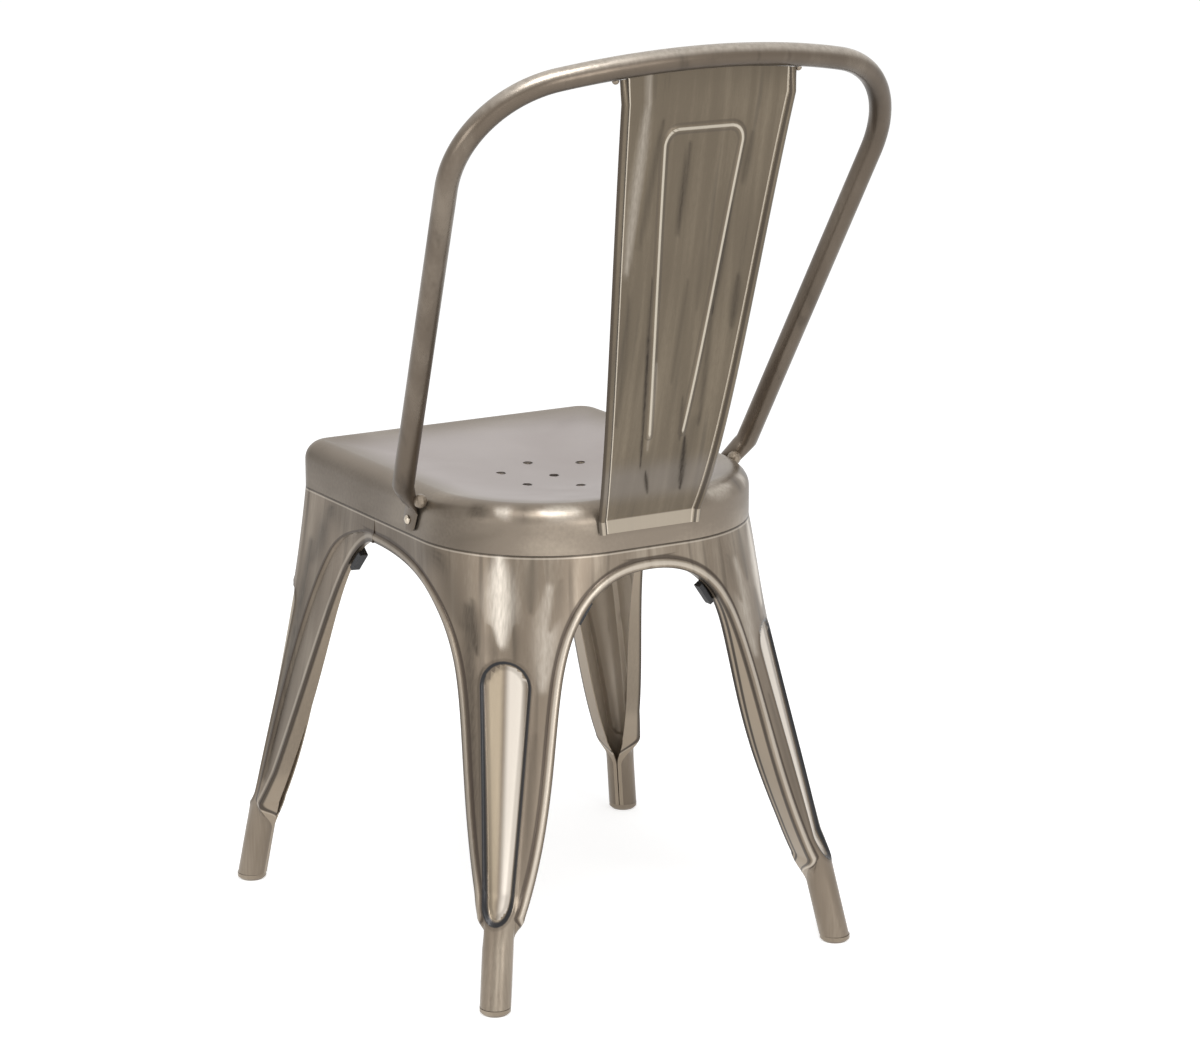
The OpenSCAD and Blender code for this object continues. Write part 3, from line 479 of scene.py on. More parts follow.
def antique(name, tones, lines=(), across=None, stroke=(23.81, 23.81, 312.5),
            fine=(2, 2, 71.43), rough=0.34, metal=0.62, over=(), marks=(0.62, 0.5),
            patina_and_painted_light=False):
    """A brushed antique lacquer in dark, body and pale tones. The strokes and the fine
    brushing have a size in mm on each axis, and follow the piece by an attribute across
    it where one is named. Lines are painted along an attribute, each (attribute, place,
    half width, colour, share). over is a list of (attribute, from, to, colour), a tone
    where the attribute is high. marks are small dark strokes, as their level in the
    noise and their share. The last argument adds the larger strokes from their
    attribute: dark smudges and painted shade above 0, pale wiping and painted
    highlights below 0."""
    finish, tree = new_material(name)
    place = add(tree, "ShaderNodeTexCoord").outputs["Object"]
    run = place
    if across:
        round_piece = add(tree, "ShaderNodeAttribute", {"attribute_name": across}).outputs["Fac"]
        metres = add(tree, "ShaderNodeMath", {"operation": "MULTIPLY"}, _0=round_piece,
                     _1=MM).outputs[0]
        parts = add(tree, "ShaderNodeSeparateXYZ", Vector=place)
        left = add(tree, "ShaderNodeMath", {"operation": "GREATER_THAN"}, _0=parts.outputs[0],
                   _1=0.1).outputs[0]
        run = add(tree, "ShaderNodeCombineXYZ", X=metres, Y=left, Z=parts.outputs[2]).outputs[0]
    wide = add(tree, "ShaderNodeMapping", Vector=run,
               Scale=[1 / (size * MM) for size in stroke]).outputs[0]
    wiped = add(tree, "ShaderNodeTexNoise", Vector=wide, Scale=1.0, Detail=3.0, Roughness=0.45,
                Distortion=0.35).outputs["Fac"]
    thin = add(tree, "ShaderNodeMapping", Vector=place,
               Scale=[1 / (size * MM) for size in fine]).outputs[0]
    brushed = add(tree, "ShaderNodeTexNoise", Vector=thin, Scale=1.0, Detail=3.0).outputs["Fac"]
    cloud = add(tree, "ShaderNodeTexNoise", Vector=place, Scale=1 / (cloud_size * MM),
                Detail=1.0).outputs["Fac"]
    blend = add(tree, "ShaderNodeMix", _0=0.2, _2=wiped, _3=brushed).outputs[0]
    blend = add(tree, "ShaderNodeMix", _0=0.35, _2=blend, _3=cloud).outputs[0]
    ramp = add(tree, "ShaderNodeValToRGB", Fac=blend)
    tone_stops = ramp.color_ramp.elements
    tone_stops[0].position = 0.5 - tone_reach
    tone_stops[0].color = linear(tones[0])
    tone_stops[1].position = 0.5 + tone_reach
    tone_stops[1].color = linear(tones[2])
    tone_stops.new(0.5 - tone_reach * 0.2).color = linear(tones[1])
    ramp.color_ramp.interpolation = "EASE"
    colour = ramp.outputs["Color"]
    long = add(tree, "ShaderNodeMapping", Vector=run, Location=(0.37, 0.11, 0.7),
               Scale=[1 / (size * MM) for size in mark_size]).outputs[0]
    lens = add(tree, "ShaderNodeTexNoise", Vector=long, Scale=1.0, Detail=2.0,
               Roughness=0.4).outputs["Fac"]
    lens = add(tree, "ShaderNodeMapRange", {"interpolation_type": "SMOOTHSTEP"}, Value=lens,
               From_Min=marks[0] - 0.04, From_Max=marks[0] + 0.14, To_Min=0.0,
               To_Max=marks[1]).outputs[0]
    colour = add(tree, "ShaderNodeMix", {"data_type": "RGBA"}, _0=lens, _6=colour,
                 _7=linear(mark_colour)).outputs[2]
    for attribute, low, high, code in over:
        value = add(tree, "ShaderNodeAttribute", {"attribute_name": attribute}).outputs["Fac"]
        part = add(tree, "ShaderNodeMapRange", {"interpolation_type": "SMOOTHSTEP"},
                   Value=value, From_Min=low, From_Max=high, To_Min=0.0,
                   To_Max=0.85).outputs[0]
        colour = add(tree, "ShaderNodeMix", {"data_type": "RGBA"}, _0=part, _6=colour,
                     _7=linear(code)).outputs[2]
    # The larger strokes: dark smudges and painted shade above 0, pale wiping and painted highlights
    # below
    if patina_and_painted_light:
        value = add(tree, "ShaderNodeAttribute", {"attribute_name": "patina_and_painted_light"}).outputs["Fac"]
        grain = add(tree, "ShaderNodeMapRange", Value=brushed, From_Min=0.3, From_Max=0.7,
                    To_Min=0.75, To_Max=1.15).outputs[0]
        for sign, code in ((1, unwiped_and_painted_shade_colour), (-1, wiped_and_painted_highlight_colour)):
            part = add(tree, "ShaderNodeMath", {"operation": "MULTIPLY"}, _0=value,
                       _1=sign).outputs[0]
            part = add(tree, "ShaderNodeMath", {"operation": "MULTIPLY", "use_clamp": True},
                       _0=part, _1=grain).outputs[0]
            colour = add(tree, "ShaderNodeMix", {"data_type": "RGBA"}, _0=part, _6=colour,
                         _7=linear(code)).outputs[2]
    for attribute, at, half, code, share in lines:
        value = add(tree, "ShaderNodeAttribute", {"attribute_name": attribute}).outputs["Fac"]
        off = add(tree, "ShaderNodeMath", {"operation": "SUBTRACT"}, _0=value, _1=at).outputs[0]
        off = add(tree, "ShaderNodeMath", {"operation": "ABSOLUTE"}, _0=off).outputs[0]
        near = add(tree, "ShaderNodeMapRange", {"interpolation_type": "SMOOTHSTEP"}, Value=off,
                   From_Min=half * 0.45, From_Max=half * 1.25, To_Min=share,
                   To_Max=0.0).outputs[0]
        colour = add(tree, "ShaderNodeMix", {"data_type": "RGBA"}, _0=near, _6=colour,
                     _7=linear(code)).outputs[2]
    gloss = add(tree, "ShaderNodeMapRange", Value=wiped, From_Min=0.3, From_Max=0.7,
                To_Min=rough + 0.08, To_Max=rough - 0.06).outputs[0]
    scratches = add(tree, "ShaderNodeBump", Strength=0.1, Distance=0.4 * MM,
                    Height=brushed).outputs[0]
    surface = add(tree, "ShaderNodeBsdfPrincipled", Base_Color=colour, Roughness=gloss,
                  Normal=scratches, Metallic=metal)
    add(tree, "ShaderNodeOutputMaterial", Surface=surface.outputs[0])
    return finish


# The outside has painted light over its wiped lacquer: one half of the recess's floor is
# painted pale and the other tan, as light falls on its two facets, the bead along the
# arches carries a painted highlight, and painted shade darkens the creases of the border,
# the recess and the seam, the arch edges and the flange's free edge, where dark patina
# in the creases adds to it. The inside is duller, and painted paler than the outside as
# painted light in its shade.
leg_outside = antique("antique_lacquer_on_pressed_steel", ("#4e453b", "#776b5d", "#aa9f8f"), (
    # Painted light on the recess's two facets: one half tan, the other pale
    ("floor_mm", 10, 9, "#a3957f", 0.7),
    ("floor_mm", -9.5, 9, "#e4dbcf", 0.8),
    # Painted shade in the border's crease and along the flange's free edge, together with dark
    # patina there
    ("border_mm", 0.6, 1.9, "#3b3129", 0.8),
    ("border_mm", lined_flange + 1, 3.2, "#2a241e", 0.95),
    ("border_mm", lined_flange + 8.5, 2.2, "#2f2822", 0.9),
    # Painted highlights on the border's bead: strong on the end arches, faint on the side arches
    ("end_arch_mm", 5.2, 2.2, "#dcd2c3", 0.45),
    ("side_arch_mm", 5.4, 1.8, "#dcd2c3", 0.22),
    # Painted shade inside the recess under its top, round its outline and along its step
    ("recess_mm", -2.5, 3.5, "#5a4f43", 0.35),
    ("recess_mm", 2.2, 3, "#4a4036", 0.4),
    ("recess_mm", 0.9, 1.7, "#232427", 0.95),
    # Painted shade along the arch edges, heavier on the side arches, over dark patina at the fold
    ("end_arch_mm", -0.8, 2.6, "#3b332b", 0.85),
    ("side_arch_mm", -0.6, 4.0, "#352d26", 0.85),
    # A painted highlight just under the seam, and painted shade in the seam
    ("seam_mm", 2.2, 0.8, "#dcd2c3", 0.28),
    ("seam_mm", 0.6, 0.8, "#3b332b", 0.8),
), across="across_mm", over=[("border_mm", lined_flange - 10, lined_flange, "#9e907e")],
    patina_and_painted_light=True)
# Painted light: the inside is painted paler than the outside, standing in for light in its shade
inside_with_painted_light = antique("antique_lacquer_inside_with_painted_light", ("#958979", "#afa291", "#c4b8a8"),
                     rough=0.5, metal=0.3)
leg_attributes = ("end_arch_mm", "side_arch_mm", "border_mm", "recess_mm", "across_mm",
                  "floor_mm", "seam_mm", "patina_and_painted_light")
row_heights = [mix(seam_h, open_h, (k / 150) ** 1.2) for k in range(151)]
row_heights += [mix(open_h, 50, k / 16) for k in range(1, 17)] + [40, 30, 20, 12, cap_h + clear]
for kind, leg in legs.items():
    leg["strokes"] = leg_smudges_and_painted_light[kind]
    rows = [leg_row(leg, z) for z in row_heights]
    head = [leg_row(leg, seam_h, False, k / 5) for k in range(6)]
    for word, side in (("left", 1), ("right", -1)):
        piece = finished(f"leg_{kind}_{word}_pressing", [head[::-1], rows[::-1]], side,
                         leg["turn"], leg_attributes, leg_outside, sheet, inside_with_painted_light)
        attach(piece, "root")
        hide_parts(f"leg_{kind}_{word}")

# Seat: one pressed dish of the same sheet with a rim rolled over into a skirt,
# stepped in at its lower edge where it laps behind the legs. Seven drain holes
# are punched through its middle and their edges are turned down.
rim_r = 18
lap_h = 9
# The dish: its depth, how far behind the seat's middle it lies, how fast it falls
dish, dish_back, dish_fall = 14, 43.5, 1.7
# The drain holes: one in the middle of a ring of six, and how far back they lie
drain_d, drain_ring_r, drain_back = 8.5, 49.5, 20.8
corner_steps, run_steps = 24, 12


def seat_outline(inset):
    """The seat's outline from above, drawn in by an inset, as 4 corners and 4 runs."""
    points = []
    x, y, b, f = seat_w / 2, seat_d / 2, seat_back_r, seat_front_r
    for cx, cy, r, start in ((x - b, y - b, b, 0), (b - x, y - b, b, 90), (f - x, f - y, f, 180),
                             (x - f, f - y, f, 270)):
        for k in range(corner_steps + 1):
            a = math.radians(start + k * 90 / corner_steps)
            points.append((cx + (r - inset) * math.cos(a), cy + (r - inset) * math.sin(a)))
    full = []
    for k, p in enumerate(points):
        full.append(p)
        q = points[(k + 1) % len(points)]
        if k % (corner_steps + 1) == corner_steps:
            full += [(mix(p[0], q[0], j / run_steps), mix(p[1], q[1], j / run_steps))
                     for j in range(1, run_steps)]
    return full


# Rings of the lap, the skirt and the rolled rim, as (inset, height)
rings = [(sheet + 0.2, seam_h - lap_h), (sheet + 0.2, seam_h - clear), (0, seam_h + clear),
         (0, seam_h + 1.2), (0, seam_h + 8)]
rings += [(rim_r * (1 - math.cos(math.radians(6 * k))),
           seat_h - rim_r + rim_r * math.sin(math.radians(6 * k))) for k in range(16)]
# Marks on the rolled rim, in plan: (x, y) to (x, y), half width, share: two dark smudges, and two
# painted highlights with shares below 0
rim_smudges_and_highlights = [(144, 120, 135, 136, 6, 0.5), (115, 157, 107, 162, 6, 0.5),
               (129, 143, 121, 151, 6, -0.5), (97, 168, 66, 181, 6, -0.4)]


def rim_shade_and_wiping(x, y, z):
    """The sides of the skirt are darkened as painted shade, and the rim has dark smudges and painted
    highlights in patches.
    """
    # Painted shade on the sides of the skirt
    sides = 0.42 * ease((abs(x) / (seat_w / 2) - 0.7) / 0.3) * (1 - ease((z - seat_h + 12) / 12))
    return sides + wiping_and_painted_light(abs(x), y, rim_smudges_and_highlights) * ease((z - seat_h + rim_r) / 8)


# dish_share is -1 on the skirt, and runs from -0.4 at the rim to 1 in the middle
rim_share = -0.4
seat_rows = [[((x, y, z), mix(-1, rim_share, (inset / rim_r) ** 2), rim_shade_and_wiping(x, y, z))
              for x, y in seat_outline(inset)] for inset, z in rings]


def dish_reach(rim, q):
    """Share of the way out to a point of the rim, for the ring at a share of the dish.
    The rings start as the rim's outline and grow oval towards the middle."""
    x, y = rim[0], rim[1] - dish_back
    oval = (seat_w / 2 - rim_r, seat_d / 2 - rim_r + (dish_back if y < 0 else -dish_back))
    return (1 - q) * mix(1, 1 / math.hypot(x / oval[0], y / oval[1]), ease(q / 0.6))


def dish_height(q):
    return seat_h - dish * (1 - (1 - q) ** dish_fall)


# The rings of the dish, closer together at the rim
for q in [0.02, 0.05] + [k / 22 for k in range(2, 22)]:
    ring_row = []
    for rim in seat_outline(rim_r):
        reach = dish_reach(rim, q)
        ring_row.append(((rim[0] * reach, mix(dish_back, rim[1], reach), dish_height(q)),
                         mix(rim_share, 1, q), 0))
    seat_rows.append(ring_row)
seat_rows.append([((0, dish_back, seat_h - dish), 1, 0)] * len(seat_rows[0]))
seat_rows = [row + row[:1] for row in seat_rows]


def on_dish(x, y):
    """Height of the dish over a point of the plan."""
    angle = math.atan2(y - dish_back, x)
    rim = min(seat_outline(rim_r), key=lambda p: abs(
        math.remainder(math.atan2(p[1] - dish_back, p[0]) - angle, math.tau)))
    share = math.hypot(x, y - dish_back) / math.hypot(rim[0], rim[1] - dish_back)
    return dish_height(next(k / 400 for k in range(401) if dish_reach(rim, k / 400) <= share))


drains = [(0, drain_back)] + [
    (drain_ring_r * math.cos(math.radians(90 + k * 60)),
     drain_back + drain_ring_r * math.sin(math.radians(90 + k * 60))) for k in range(6)]
# The dish is an even, paler and cooler grey, with no dark marks
seat_lacquer = antique("antique_lacquer_on_the_seat", ("#5b5245", "#7e7366", "#a49888"),
                       stroke=(111.1, 111.1, 33.33), fine=(3.333, 3.333, 3.333), rough=0.38,
                       over=[("dish_share", -0.45, -0.05, "#a79e9b")], marks=(0.8, 0),
                       patina_and_painted_light=True)
seat = finished("seat_pan_pressing", [seat_rows], 1, 1, ("dish_share", "patina_and_painted_light"), seat_lacquer,
                sheet, inside_with_painted_light, 50)
# The punches go 9 mm past the dish either way, and are taken out of it
hole_sides, punch_reach = 24, 9
punch_mesh = bpy.data.meshes.new("punches")
verts, faces = [], []
for x, y in drains:
    start = len(verts)
    for z in (on_dish(x, y) - punch_reach, on_dish(x, y) + punch_reach):
        verts += [((x + drain_d / 2 * math.cos(k * math.tau / hole_sides)) * MM,
                   (y + drain_d / 2 * math.sin(k * math.tau / hole_sides)) * MM + seat_mid_y, z * MM)
                  for k in range(hole_sides)]
    faces += [tuple(start + k for k in reversed(range(hole_sides))),
              tuple(start + hole_sides + k for k in range(hole_sides))]
    faces += [(start + k, start + (k + 1) % hole_sides, start + hole_sides + (k + 1) % hole_sides,
               start + hole_sides + k) for k in range(hole_sides)]
punch_mesh.from_pydata(verts, [], faces)
punches = bpy.data.objects.new("punches", punch_mesh)
scene.collection.objects.link(punches)
cut = seat.modifiers.new("drain holes", "BOOLEAN")
cut.operation = "DIFFERENCE"
cut.solver = "EXACT"
cut.object = punches
settled(seat)
bpy.data.objects.remove(punches)

# The turned edge round each drain hole, repeated over the seven places on the dish
# and painted almost black as painted shade, for the dark seen down the holes
collar_r, collar_off = 0.45, 0.25
places = bpy.data.meshes.new("drain_collars")
places.from_pydata([(x * MM, y * MM + seat_mid_y, (on_dish(x, y) - collar_off) * MM)
                    for x, y in drains], [], [])
collars = bpy.data.objects.new("drain_collars", places)
scene.collection.objects.link(collars)
tree = bpy.data.node_groups.new("turned_collars", "GeometryNodeTree")
for label, kind, way in (("Places", "NodeSocketGeometry", "INPUT"),
                         ("Hole radius", "NodeSocketFloat", "INPUT"),
                         ("Turn radius", "NodeSocketFloat", "INPUT"),
                         ("Finish", "NodeSocketMaterial", "INPUT"),
                         ("Collars", "NodeSocketGeometry", "OUTPUT")):
    tree.interface.new_socket(label, in_out=way, socket_type=kind)
given = add(tree, "NodeGroupInput").outputs
ring = add(tree, "GeometryNodeCurvePrimitiveCircle", Resolution=hole_sides,
           Radius=given["Hole radius"])
lip = add(tree, "GeometryNodeCurvePrimitiveCircle", Resolution=8, Radius=given["Turn radius"])
collar = add(tree, "GeometryNodeCurveToMesh", Curve=ring.outputs[0],
             Profile_Curve=lip.outputs[0])
spread = add(tree, "GeometryNodeInstanceOnPoints", Points=given["Places"],
             Instance=collar.outputs[0])
real = add(tree, "GeometryNodeRealizeInstances", Geometry=spread.outputs[0])
dressed = add(tree, "GeometryNodeSetMaterial", Geometry=real.outputs[0],
              Material=given["Finish"])
add(tree, "NodeGroupOutput", Collars=dressed.outputs[0])
modifier = collars.modifiers.new("turned_collars", "NODES")
modifier.node_group = tree
sockets = {item.name: item.identifier for item in tree.interface.items_tree}
modifier[sockets["Hole radius"]] = (drain_d / 2 + collar_off) * MM
modifier[sockets["Turn radius"]] = collar_r * MM
# Painted shade: the collars are painted almost black for the shade down the holes
modifier[sockets["Finish"]] = antique("painted_shade_in_the_drain_holes",
                                      ("#29231d", "#3a332b", "#4a4238"))
settled(collars).shade_smooth()
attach(collars, "root")
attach(seat, "root")
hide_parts("seat_pan")

# Back hoop: a 20 mm steel tube bent to a wide hoop, its two ends hammered flat
# into lugs that are riveted to the seat's skirt. Its upper side is painted pale as a
# painted highlight, and its lower side dark as painted shade.
tube_r, bend_r = 10, 103
lug_t, lug_r, rivet_y, rivet_h = 4, 11, 47, 409
# The tube's middle: where the straight side passes the rim, where its line meets the
# line to the peak, and the peak. The tube is round from 8 mm above the rim.
hoop_rim = Vector((181.1, 63, seat_h))
hoop_cross = Vector((223.7, 254, 813.3))
hoop_peak = Vector((0, 308, 854.5))
round_h = seat_h + 8
hoop_up = (hoop_cross - hoop_rim).normalized()
hoop_in = (hoop_peak - hoop_cross).normalized()
hoop_low = hoop_cross - hoop_up * (hoop_cross.z - round_h) / hoop_up.z
corner_turn = math.acos(hoop_up.dot(hoop_in))
corner_run = bend_r * math.tan(corner_turn / 2)
corner_start = hoop_cross - corner_run * hoop_up
corner_end = hoop_cross + corner_run * hoop_in
corner_n = (hoop_in - hoop_in.dot(hoop_up) * hoop_up).normalized()
corner_c = corner_start + bend_r * corner_n
top_turn = math.acos(hoop_in.dot(Vector((-1, 0, 0))))
top_foot = Vector((0, corner_end.y, corner_end.z))
top_r = (hoop_peak - corner_end).length / math.tan(top_turn)
top_dir = (hoop_peak - top_foot).normalized()
top_mid = top_foot - top_r * math.cos(top_turn) * top_dir


def hoop_top(x):
    """Middle of the tube along the hoop's top arc."""
    a = math.asin(x / top_r)
    return top_mid + top_r * (Vector((math.sin(a), 0, 0)) + math.cos(a) * top_dir)


lug_up = Vector((0, 0.45, 1)).normalized()
lug_mid = Vector((seat_w / 2 + clear + lug_t / 2, rivet_y, rivet_h))
neck = lug_mid + 1.18 * lug_r * lug_up
neck_up = (hoop_low - neck).normalized()
# Stations along the left half, as (middle, heading, half thickness, half width): the
# round lug, the neck that swells to the tube, the straight side, the bend and the top
stations = []
for d in (-0.97, -0.9, -0.78, -0.6, -0.4, -0.2, 0):
    stations.append((lug_mid + d * lug_r * lug_up, lug_up, lug_t / 2,
                     lug_r * math.sqrt(1 - d * d)))
for u in (k / 12 for k in range(13)):
    heading = lug_up.lerp(neck_up, 2 * u) if u < 0.5 else neck_up.lerp(hoop_up, 2 * u - 1)
    stations.append((neck.lerp(hoop_low, u), heading.normalized(),
                     mix(lug_t / 2, tube_r, 1 - (1 - u) ** 1.32), mix(lug_r, tube_r, u)))
for k in range(1, 25):
    stations.append((hoop_low.lerp(corner_start, k / 25), hoop_up, tube_r, tube_r))
for a in (k * corner_turn / 32 for k in range(33)):
    stations.append((corner_c - bend_r * (math.cos(a) * corner_n - math.sin(a) * hoop_up),
                     math.cos(a) * hoop_up + math.sin(a) * corner_n, tube_r, tube_r))
for x in (corner_end.x * k / 24 for k in range(23, -1, -1)):
    a = math.asin(x / top_r)
    stations.append((hoop_top(x), Vector((-math.cos(a), math.sin(a) * top_dir.y,
                                          math.sin(a) * top_dir.z)), tube_r, tube_r))
facets = 40
# Painted light: the tube is painted pale as a highlight where it faces up and back, and dark as
# painted shade where it faces away
painted_light_side = Vector((0.2, 0.35, 0.9)).normalized()
across = Vector((0, -0.9, 0.45))
hoop_rows = []
for middle, heading, thin, wide in stations:
    b = (across - across.dot(heading) * heading).normalized()
    a = heading.cross(b)
    ring_row = []
    for t in (k * math.tau / facets for k in range(facets + 1)):
        facing = (math.cos(t) * a + math.sin(t) * b).dot(painted_light_side)
        ring_row.append((tuple(middle + thin * math.cos(t) * a + wide * math.sin(t) * b),
                         0.5 * ease(0.2 - facing) - 0.35 * ease((facing - 0.55) / 0.4)))
    hoop_rows.append(ring_row)
hoop_rows += [[((-p[0], p[1], p[2]), dark) for p, dark in row] for row in hoop_rows[-2::-1]]
tip = lug_mid - lug_r * lug_up
hoop_rows = ([[(tuple(tip), 0)] * (facets + 1)] + hoop_rows
             + [[((-tip.x, tip.y, tip.z), 0)] * (facets + 1)])
hoop_lacquer = antique("antique_lacquer_on_bent_tube", ("#423a31", "#61564a", "#82776a"),
                       stroke=(33.33, 33.33, 125), fine=(3.846, 3.846, 8.333), rough=0.3,
                       marks=(0.66, 0.4), patina_and_painted_light=True)
hoop = finished("back_hoop_tube", [hoop_rows], -1, 1, ("patina_and_painted_light",), hoop_lacquer, 0)
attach(hoop, "root")
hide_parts("back_hoop")

# Splat: a pressed strip that widens upwards from a tab on the skirt to the hoop,
# both sides rolled over as hems. A raised bead line runs up, across and down its
# face. It is brushed lengthwise and darker than the rest.
hem_w, hem_h = 8, 3.5
# The bead: its height, half its width, half the gap between its legs below and above, its
# corner radius, and where it starts and turns as shares of the splat's length
bead_h, bead_half_w, bead_low_x, bead_top_x, bead_r = 1.6, 4.5, 17, 40, 14
bead_from, bead_to = 0.26, 0.9
# The splat's edge, as half width, place and height: the foot on the skirt, the end under
# the hoop, and between them the shares of the way that give its bend
splat_foot = (53.4, seat_d / 2 + clear + sheet, seam_h + 0.68 * seat_side)
splat_end = (88.7, hoop_peak.y - 17.5, hoop_peak.z - 28.5)
splat_bend = ((0.33, 0.34, 0.19), (0.63, 0.615, 0.628))
splat_line = [splat_foot] + [tuple(mix(splat_foot[k], splat_end[k], q[k]) for k in range(3))
                             for q in splat_bend] + [splat_end]


def splat_half(t):
    """Half columns across the splat, as (distance from the middle, hem height), with the
    bead's place and the splat's half width. The columns lie a millimetre apart for 6 mm
    either side of the bead, and a twelfth of its width apart on the hem."""
    w = bezier(splat_line, t)[0]
    b = mix(bead_low_x, bead_top_x, clamp((t - bead_from) / (bead_to - bead_from)))
    xs = [(b - 6) * k / 10 for k in range(10)] + [b - 6 + k for k in range(13)]
    xs += [mix(b + 6, w - hem_w, k / 10) for k in range(1, 11)]
    out = [(x, 0) for x in xs]
    out += [(w - hem_w + hem_w * k / 12, hem_h * math.sin(math.pi * k / 12) ** 0.6)
            for k in range(1, 12)]
    return out + [(w, 0)], b, w


def splat_length(t):
    """Length along the splat, which bends and so is 3 % longer than its rise."""
    return (splat_end[2] - splat_foot[2]) * t * 1.03


def bead_distance(x, t, b):
    """Distance from the bead's line, an upside-down U with round corners."""
    qx, qy = abs(x) - b + bead_r, splat_length(t) - splat_length(bead_to) + bead_r
    d = math.hypot(max(qx, 0), max(qy, 0)) + min(max(qx, qy), 0) - bead_r
    return math.hypot(d, max(0, splat_length(bead_from) - splat_length(t)))


# Wiping on the splat: (place across, height above its foot) twice, half width, share
splat_strokes = [
    (43, 380, 52, 279, 4, 0.45), (14, 361, 14.5, 288, 3.2, 0.8), (-2, 250, 1, 160, 3, 0.35),
    (-13, 295, -15, 225, 3, 0.22), (55, 243, 52, 122, 3.5, 0.45), (34.5, 255, 20.5, 70, 1.7, 0.85),
    (-49, 365, -46, 325, 4, 0.5), (-37, 310, -31.5, 218, 2.4, 0.75), (-31, 225, -34, 112, 3, 0.5),
    (-54, 250, -54, 205, 5, 0.6), (-12.6, 146, -16, 98, 2, 0.5), (-21, 102, -26, 34, 2.8, 0.9),
    (14, 64, 8, 36, 2.2, 0.9), (30, 200, 12, 60, 14, 0.2), (-30, 120, -20, 40, 14, 0.25),
    (38, 410, -40, 410, 9, 0.12), (20, 180, 16, 90, 5, -0.3), (60, 400, 62, 260, 5, -0.25),
]


def splat_row(t):
    """A row across the splat, as points with the finish's attributes."""
    p = bezier(splat_line, t)
    ahead = bezier(splat_line, t + 0.01)
    up = Vector((0, ahead[1] - p[1], ahead[2] - p[2])).normalized()
    half, b, w = splat_half(t)
    high = splat_length(t)
    low = ease((high - 15) / 30) * (1 - ease((high - 60) / 30))
    row = []
    for sign, columns in ((1, half[::-1]), (-1, half[1:])):
        for x, h in columns:
            d = bead_distance(x, t, b)
            lift = h + bead_h * max(0, 1 - (d / bead_half_w) ** 2) ** 2
            row.append(((sign * x, p[1] + up.z * lift, p[2] - up.y * lift), d, w - x,
                        sign * x, low, wiping_and_painted_light(sign * x, high, splat_strokes), 0))
    return row


# The rows lie closer where the bead turns, and end below the tube
splat_ts = [k / 90 for k in range(91) if k / 90 < 0.87] + [0.87 + k * 0.004 for k in range(16)]
splat_ts += [0.94, 0.955]
splat_rows = [splat_row(t) for t in splat_ts]
# The tab goes flat down the skirt, a little narrower, and the top row meets the tube
tab_drop, tab_narrow, top_spread = 13, 0.97, 1.012
tab = []
for drop in (tab_drop, 1.2):
    row = []
    for p, *values in splat_rows[0]:
        row.append(((p[0] * mix(1, tab_narrow, drop / tab_drop), max(splat_foot[1], p[1]),
                     splat_foot[2] - drop), *values[:-1], 1))
    tab.append(row)
top = []
for p, *values in splat_rows[-1]:
    c = hoop_top(p[0] * top_spread)
    v = Vector((0, p[1] - c.y, p[2] - c.z)).normalized() * (tube_r + clear)
    top.append((tuple(c + v), *values))
splat_rows = tab + splat_rows + [top]
# The same lacquer, brushed harder and darker, with painted highlights on the bead, beside the hems
# and on the tab, and painted shade beside the bead and on the hems
splat_tones = ("#3c3429", "#5c5141", "#786c5a")
splat_lacquer = antique("brushed_antique_lacquer_on_the_splat", splat_tones, (
    # Painted highlight on the bead's crest, painted shade at its foot
    ("bead_mm", 0, 1.3, "#c9c0b0", 0.75),
    ("bead_mm", 3.6, 1.2, "#4f463c", 0.5),
    # Painted shade on each hem's inner slope and at its outer edge, and a painted highlight along
    # its inner foot
    ("hem_mm", 6.4, 1.3, "#3b332b", 0.8),
    ("hem_mm", 8.6, 0.8, "#d2c7b6", 0.75),
    ("hem_mm", 0.4, 1.6, "#40372e", 0.8),
), across="across_mm", stroke=(11.765, 11.765, 200), fine=(1.613, 1.613, 125), rough=0.36,
    # The tab is painted pale as a painted highlight
    over=[("low_share", -0.4, 2.2, "#7c7671"), ("tab_share", -0.2, 1.5, "#b2a797")],
    marks=(0.64, 0.5), patina_and_painted_light=True)
splat = finished("back_splat_pressing", [splat_rows], 1, 1,
                 ("bead_mm", "hem_mm", "across_mm", "low_share", "patina_and_painted_light", "tab_share"),
                 splat_lacquer, sheet)
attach(splat, "root")
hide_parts("back_splat")

# Small parts: the bright zinc-plated rivets and the bolt, its nut and washer, the
# lacquered braces, welds and foot caps, and black moulded bumpers on the flanges
# that keep stacked chairs apart.
zinc, tree = new_material("bright_zinc_plated_steel")
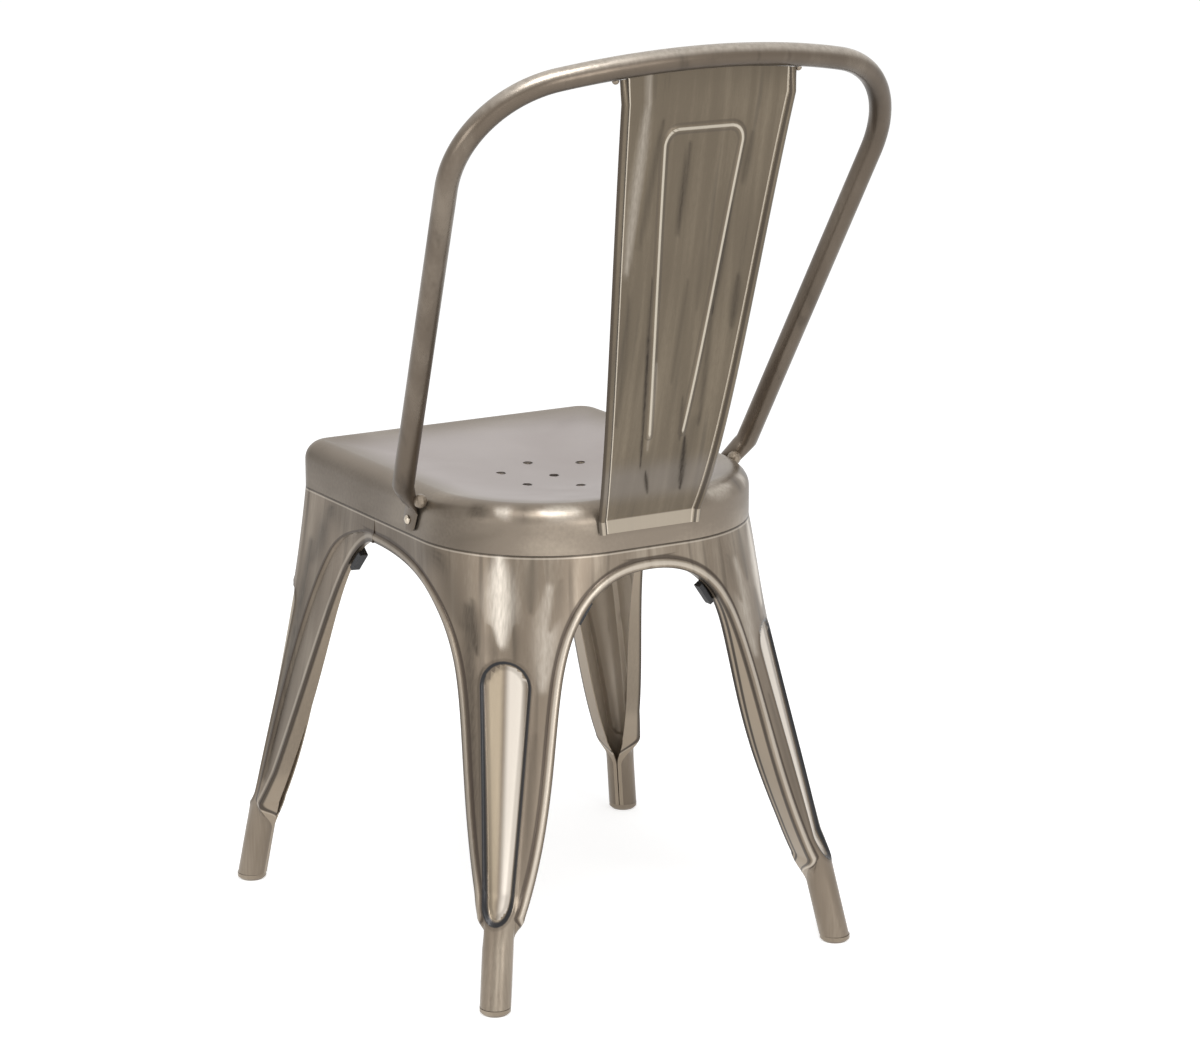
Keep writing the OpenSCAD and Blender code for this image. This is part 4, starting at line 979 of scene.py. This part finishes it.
# Zinc plating: bright metal in small crystals, each a little duller or brighter
crystal_size = 1.667
place = add(tree, "ShaderNodeTexCoord").outputs["Object"]
spangle = add(tree, "ShaderNodeTexNoise", Vector=place, Scale=1 / (crystal_size * MM),
              Detail=2.0).outputs["Fac"]
tone = add(tree, "ShaderNodeMix", {"data_type": "RGBA"}, _0=spangle, _6=linear("#a39684"),
           _7=linear("#d6ccbd")).outputs[2]
gloss = add(tree, "ShaderNodeMapRange", Value=spangle, From_Min=0.3, From_Max=0.7, To_Min=0.2,
            To_Max=0.36).outputs[0]
surface = add(tree, "ShaderNodeBsdfPrincipled", Base_Color=tone, Roughness=gloss, Metallic=1.0)
add(tree, "ShaderNodeOutputMaterial", Surface=surface.outputs[0])
plastic, tree = new_material("black_moulded_polypropylene")
# Polypropylene from a spark-eroded mould: a dull black with a fine even grain
grain_size, grain_deep = 1.111, 0.2
place = add(tree, "ShaderNodeTexCoord").outputs["Object"]
grain = add(tree, "ShaderNodeTexNoise", Vector=place, Scale=1 / (grain_size * MM),
            Detail=3.0).outputs["Fac"]
tone = add(tree, "ShaderNodeMix", {"data_type": "RGBA"}, _0=grain, _6=linear("#18181a"),
           _7=linear("#2a2a2c")).outputs[2]
pitted = add(tree, "ShaderNodeBump", Strength=0.25, Distance=grain_deep * MM,
             Height=grain).outputs[0]
surface = add(tree, "ShaderNodeBsdfPrincipled", Base_Color=tone, Roughness=0.55,
              Normal=pitted)
add(tree, "ShaderNodeOutputMaterial", Surface=surface.outputs[0])
# The chair's lacquer without the painted creases, which leaves small pieces plain
plain_lacquer = antique("antique_lacquer_on_small_parts", ("#5f5548", "#85796a", "#a59989"))
small_parts = {
    zinc: ("hoop_rivet_left", "hoop_rivet_right", "brace_bolt", "brace_washer", "brace_nut"),
    plastic: ("bumper_side_left", "bumper_side_right", "bumper_rear_left",
              "bumper_rear_right"),
    plain_lacquer: ("hoop_weld_left", "hoop_weld_right", "splat_weld_left", "splat_weld_right",
                    "brace_lower", "brace_upper", "foot_cap_front_left",
                    "foot_cap_front_right", "foot_cap_rear_left", "foot_cap_rear_right"),
}
for material, names in small_parts.items():
    for name in names:
        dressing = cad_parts[name].data.materials
        dressing.clear()
        dressing.append(material)
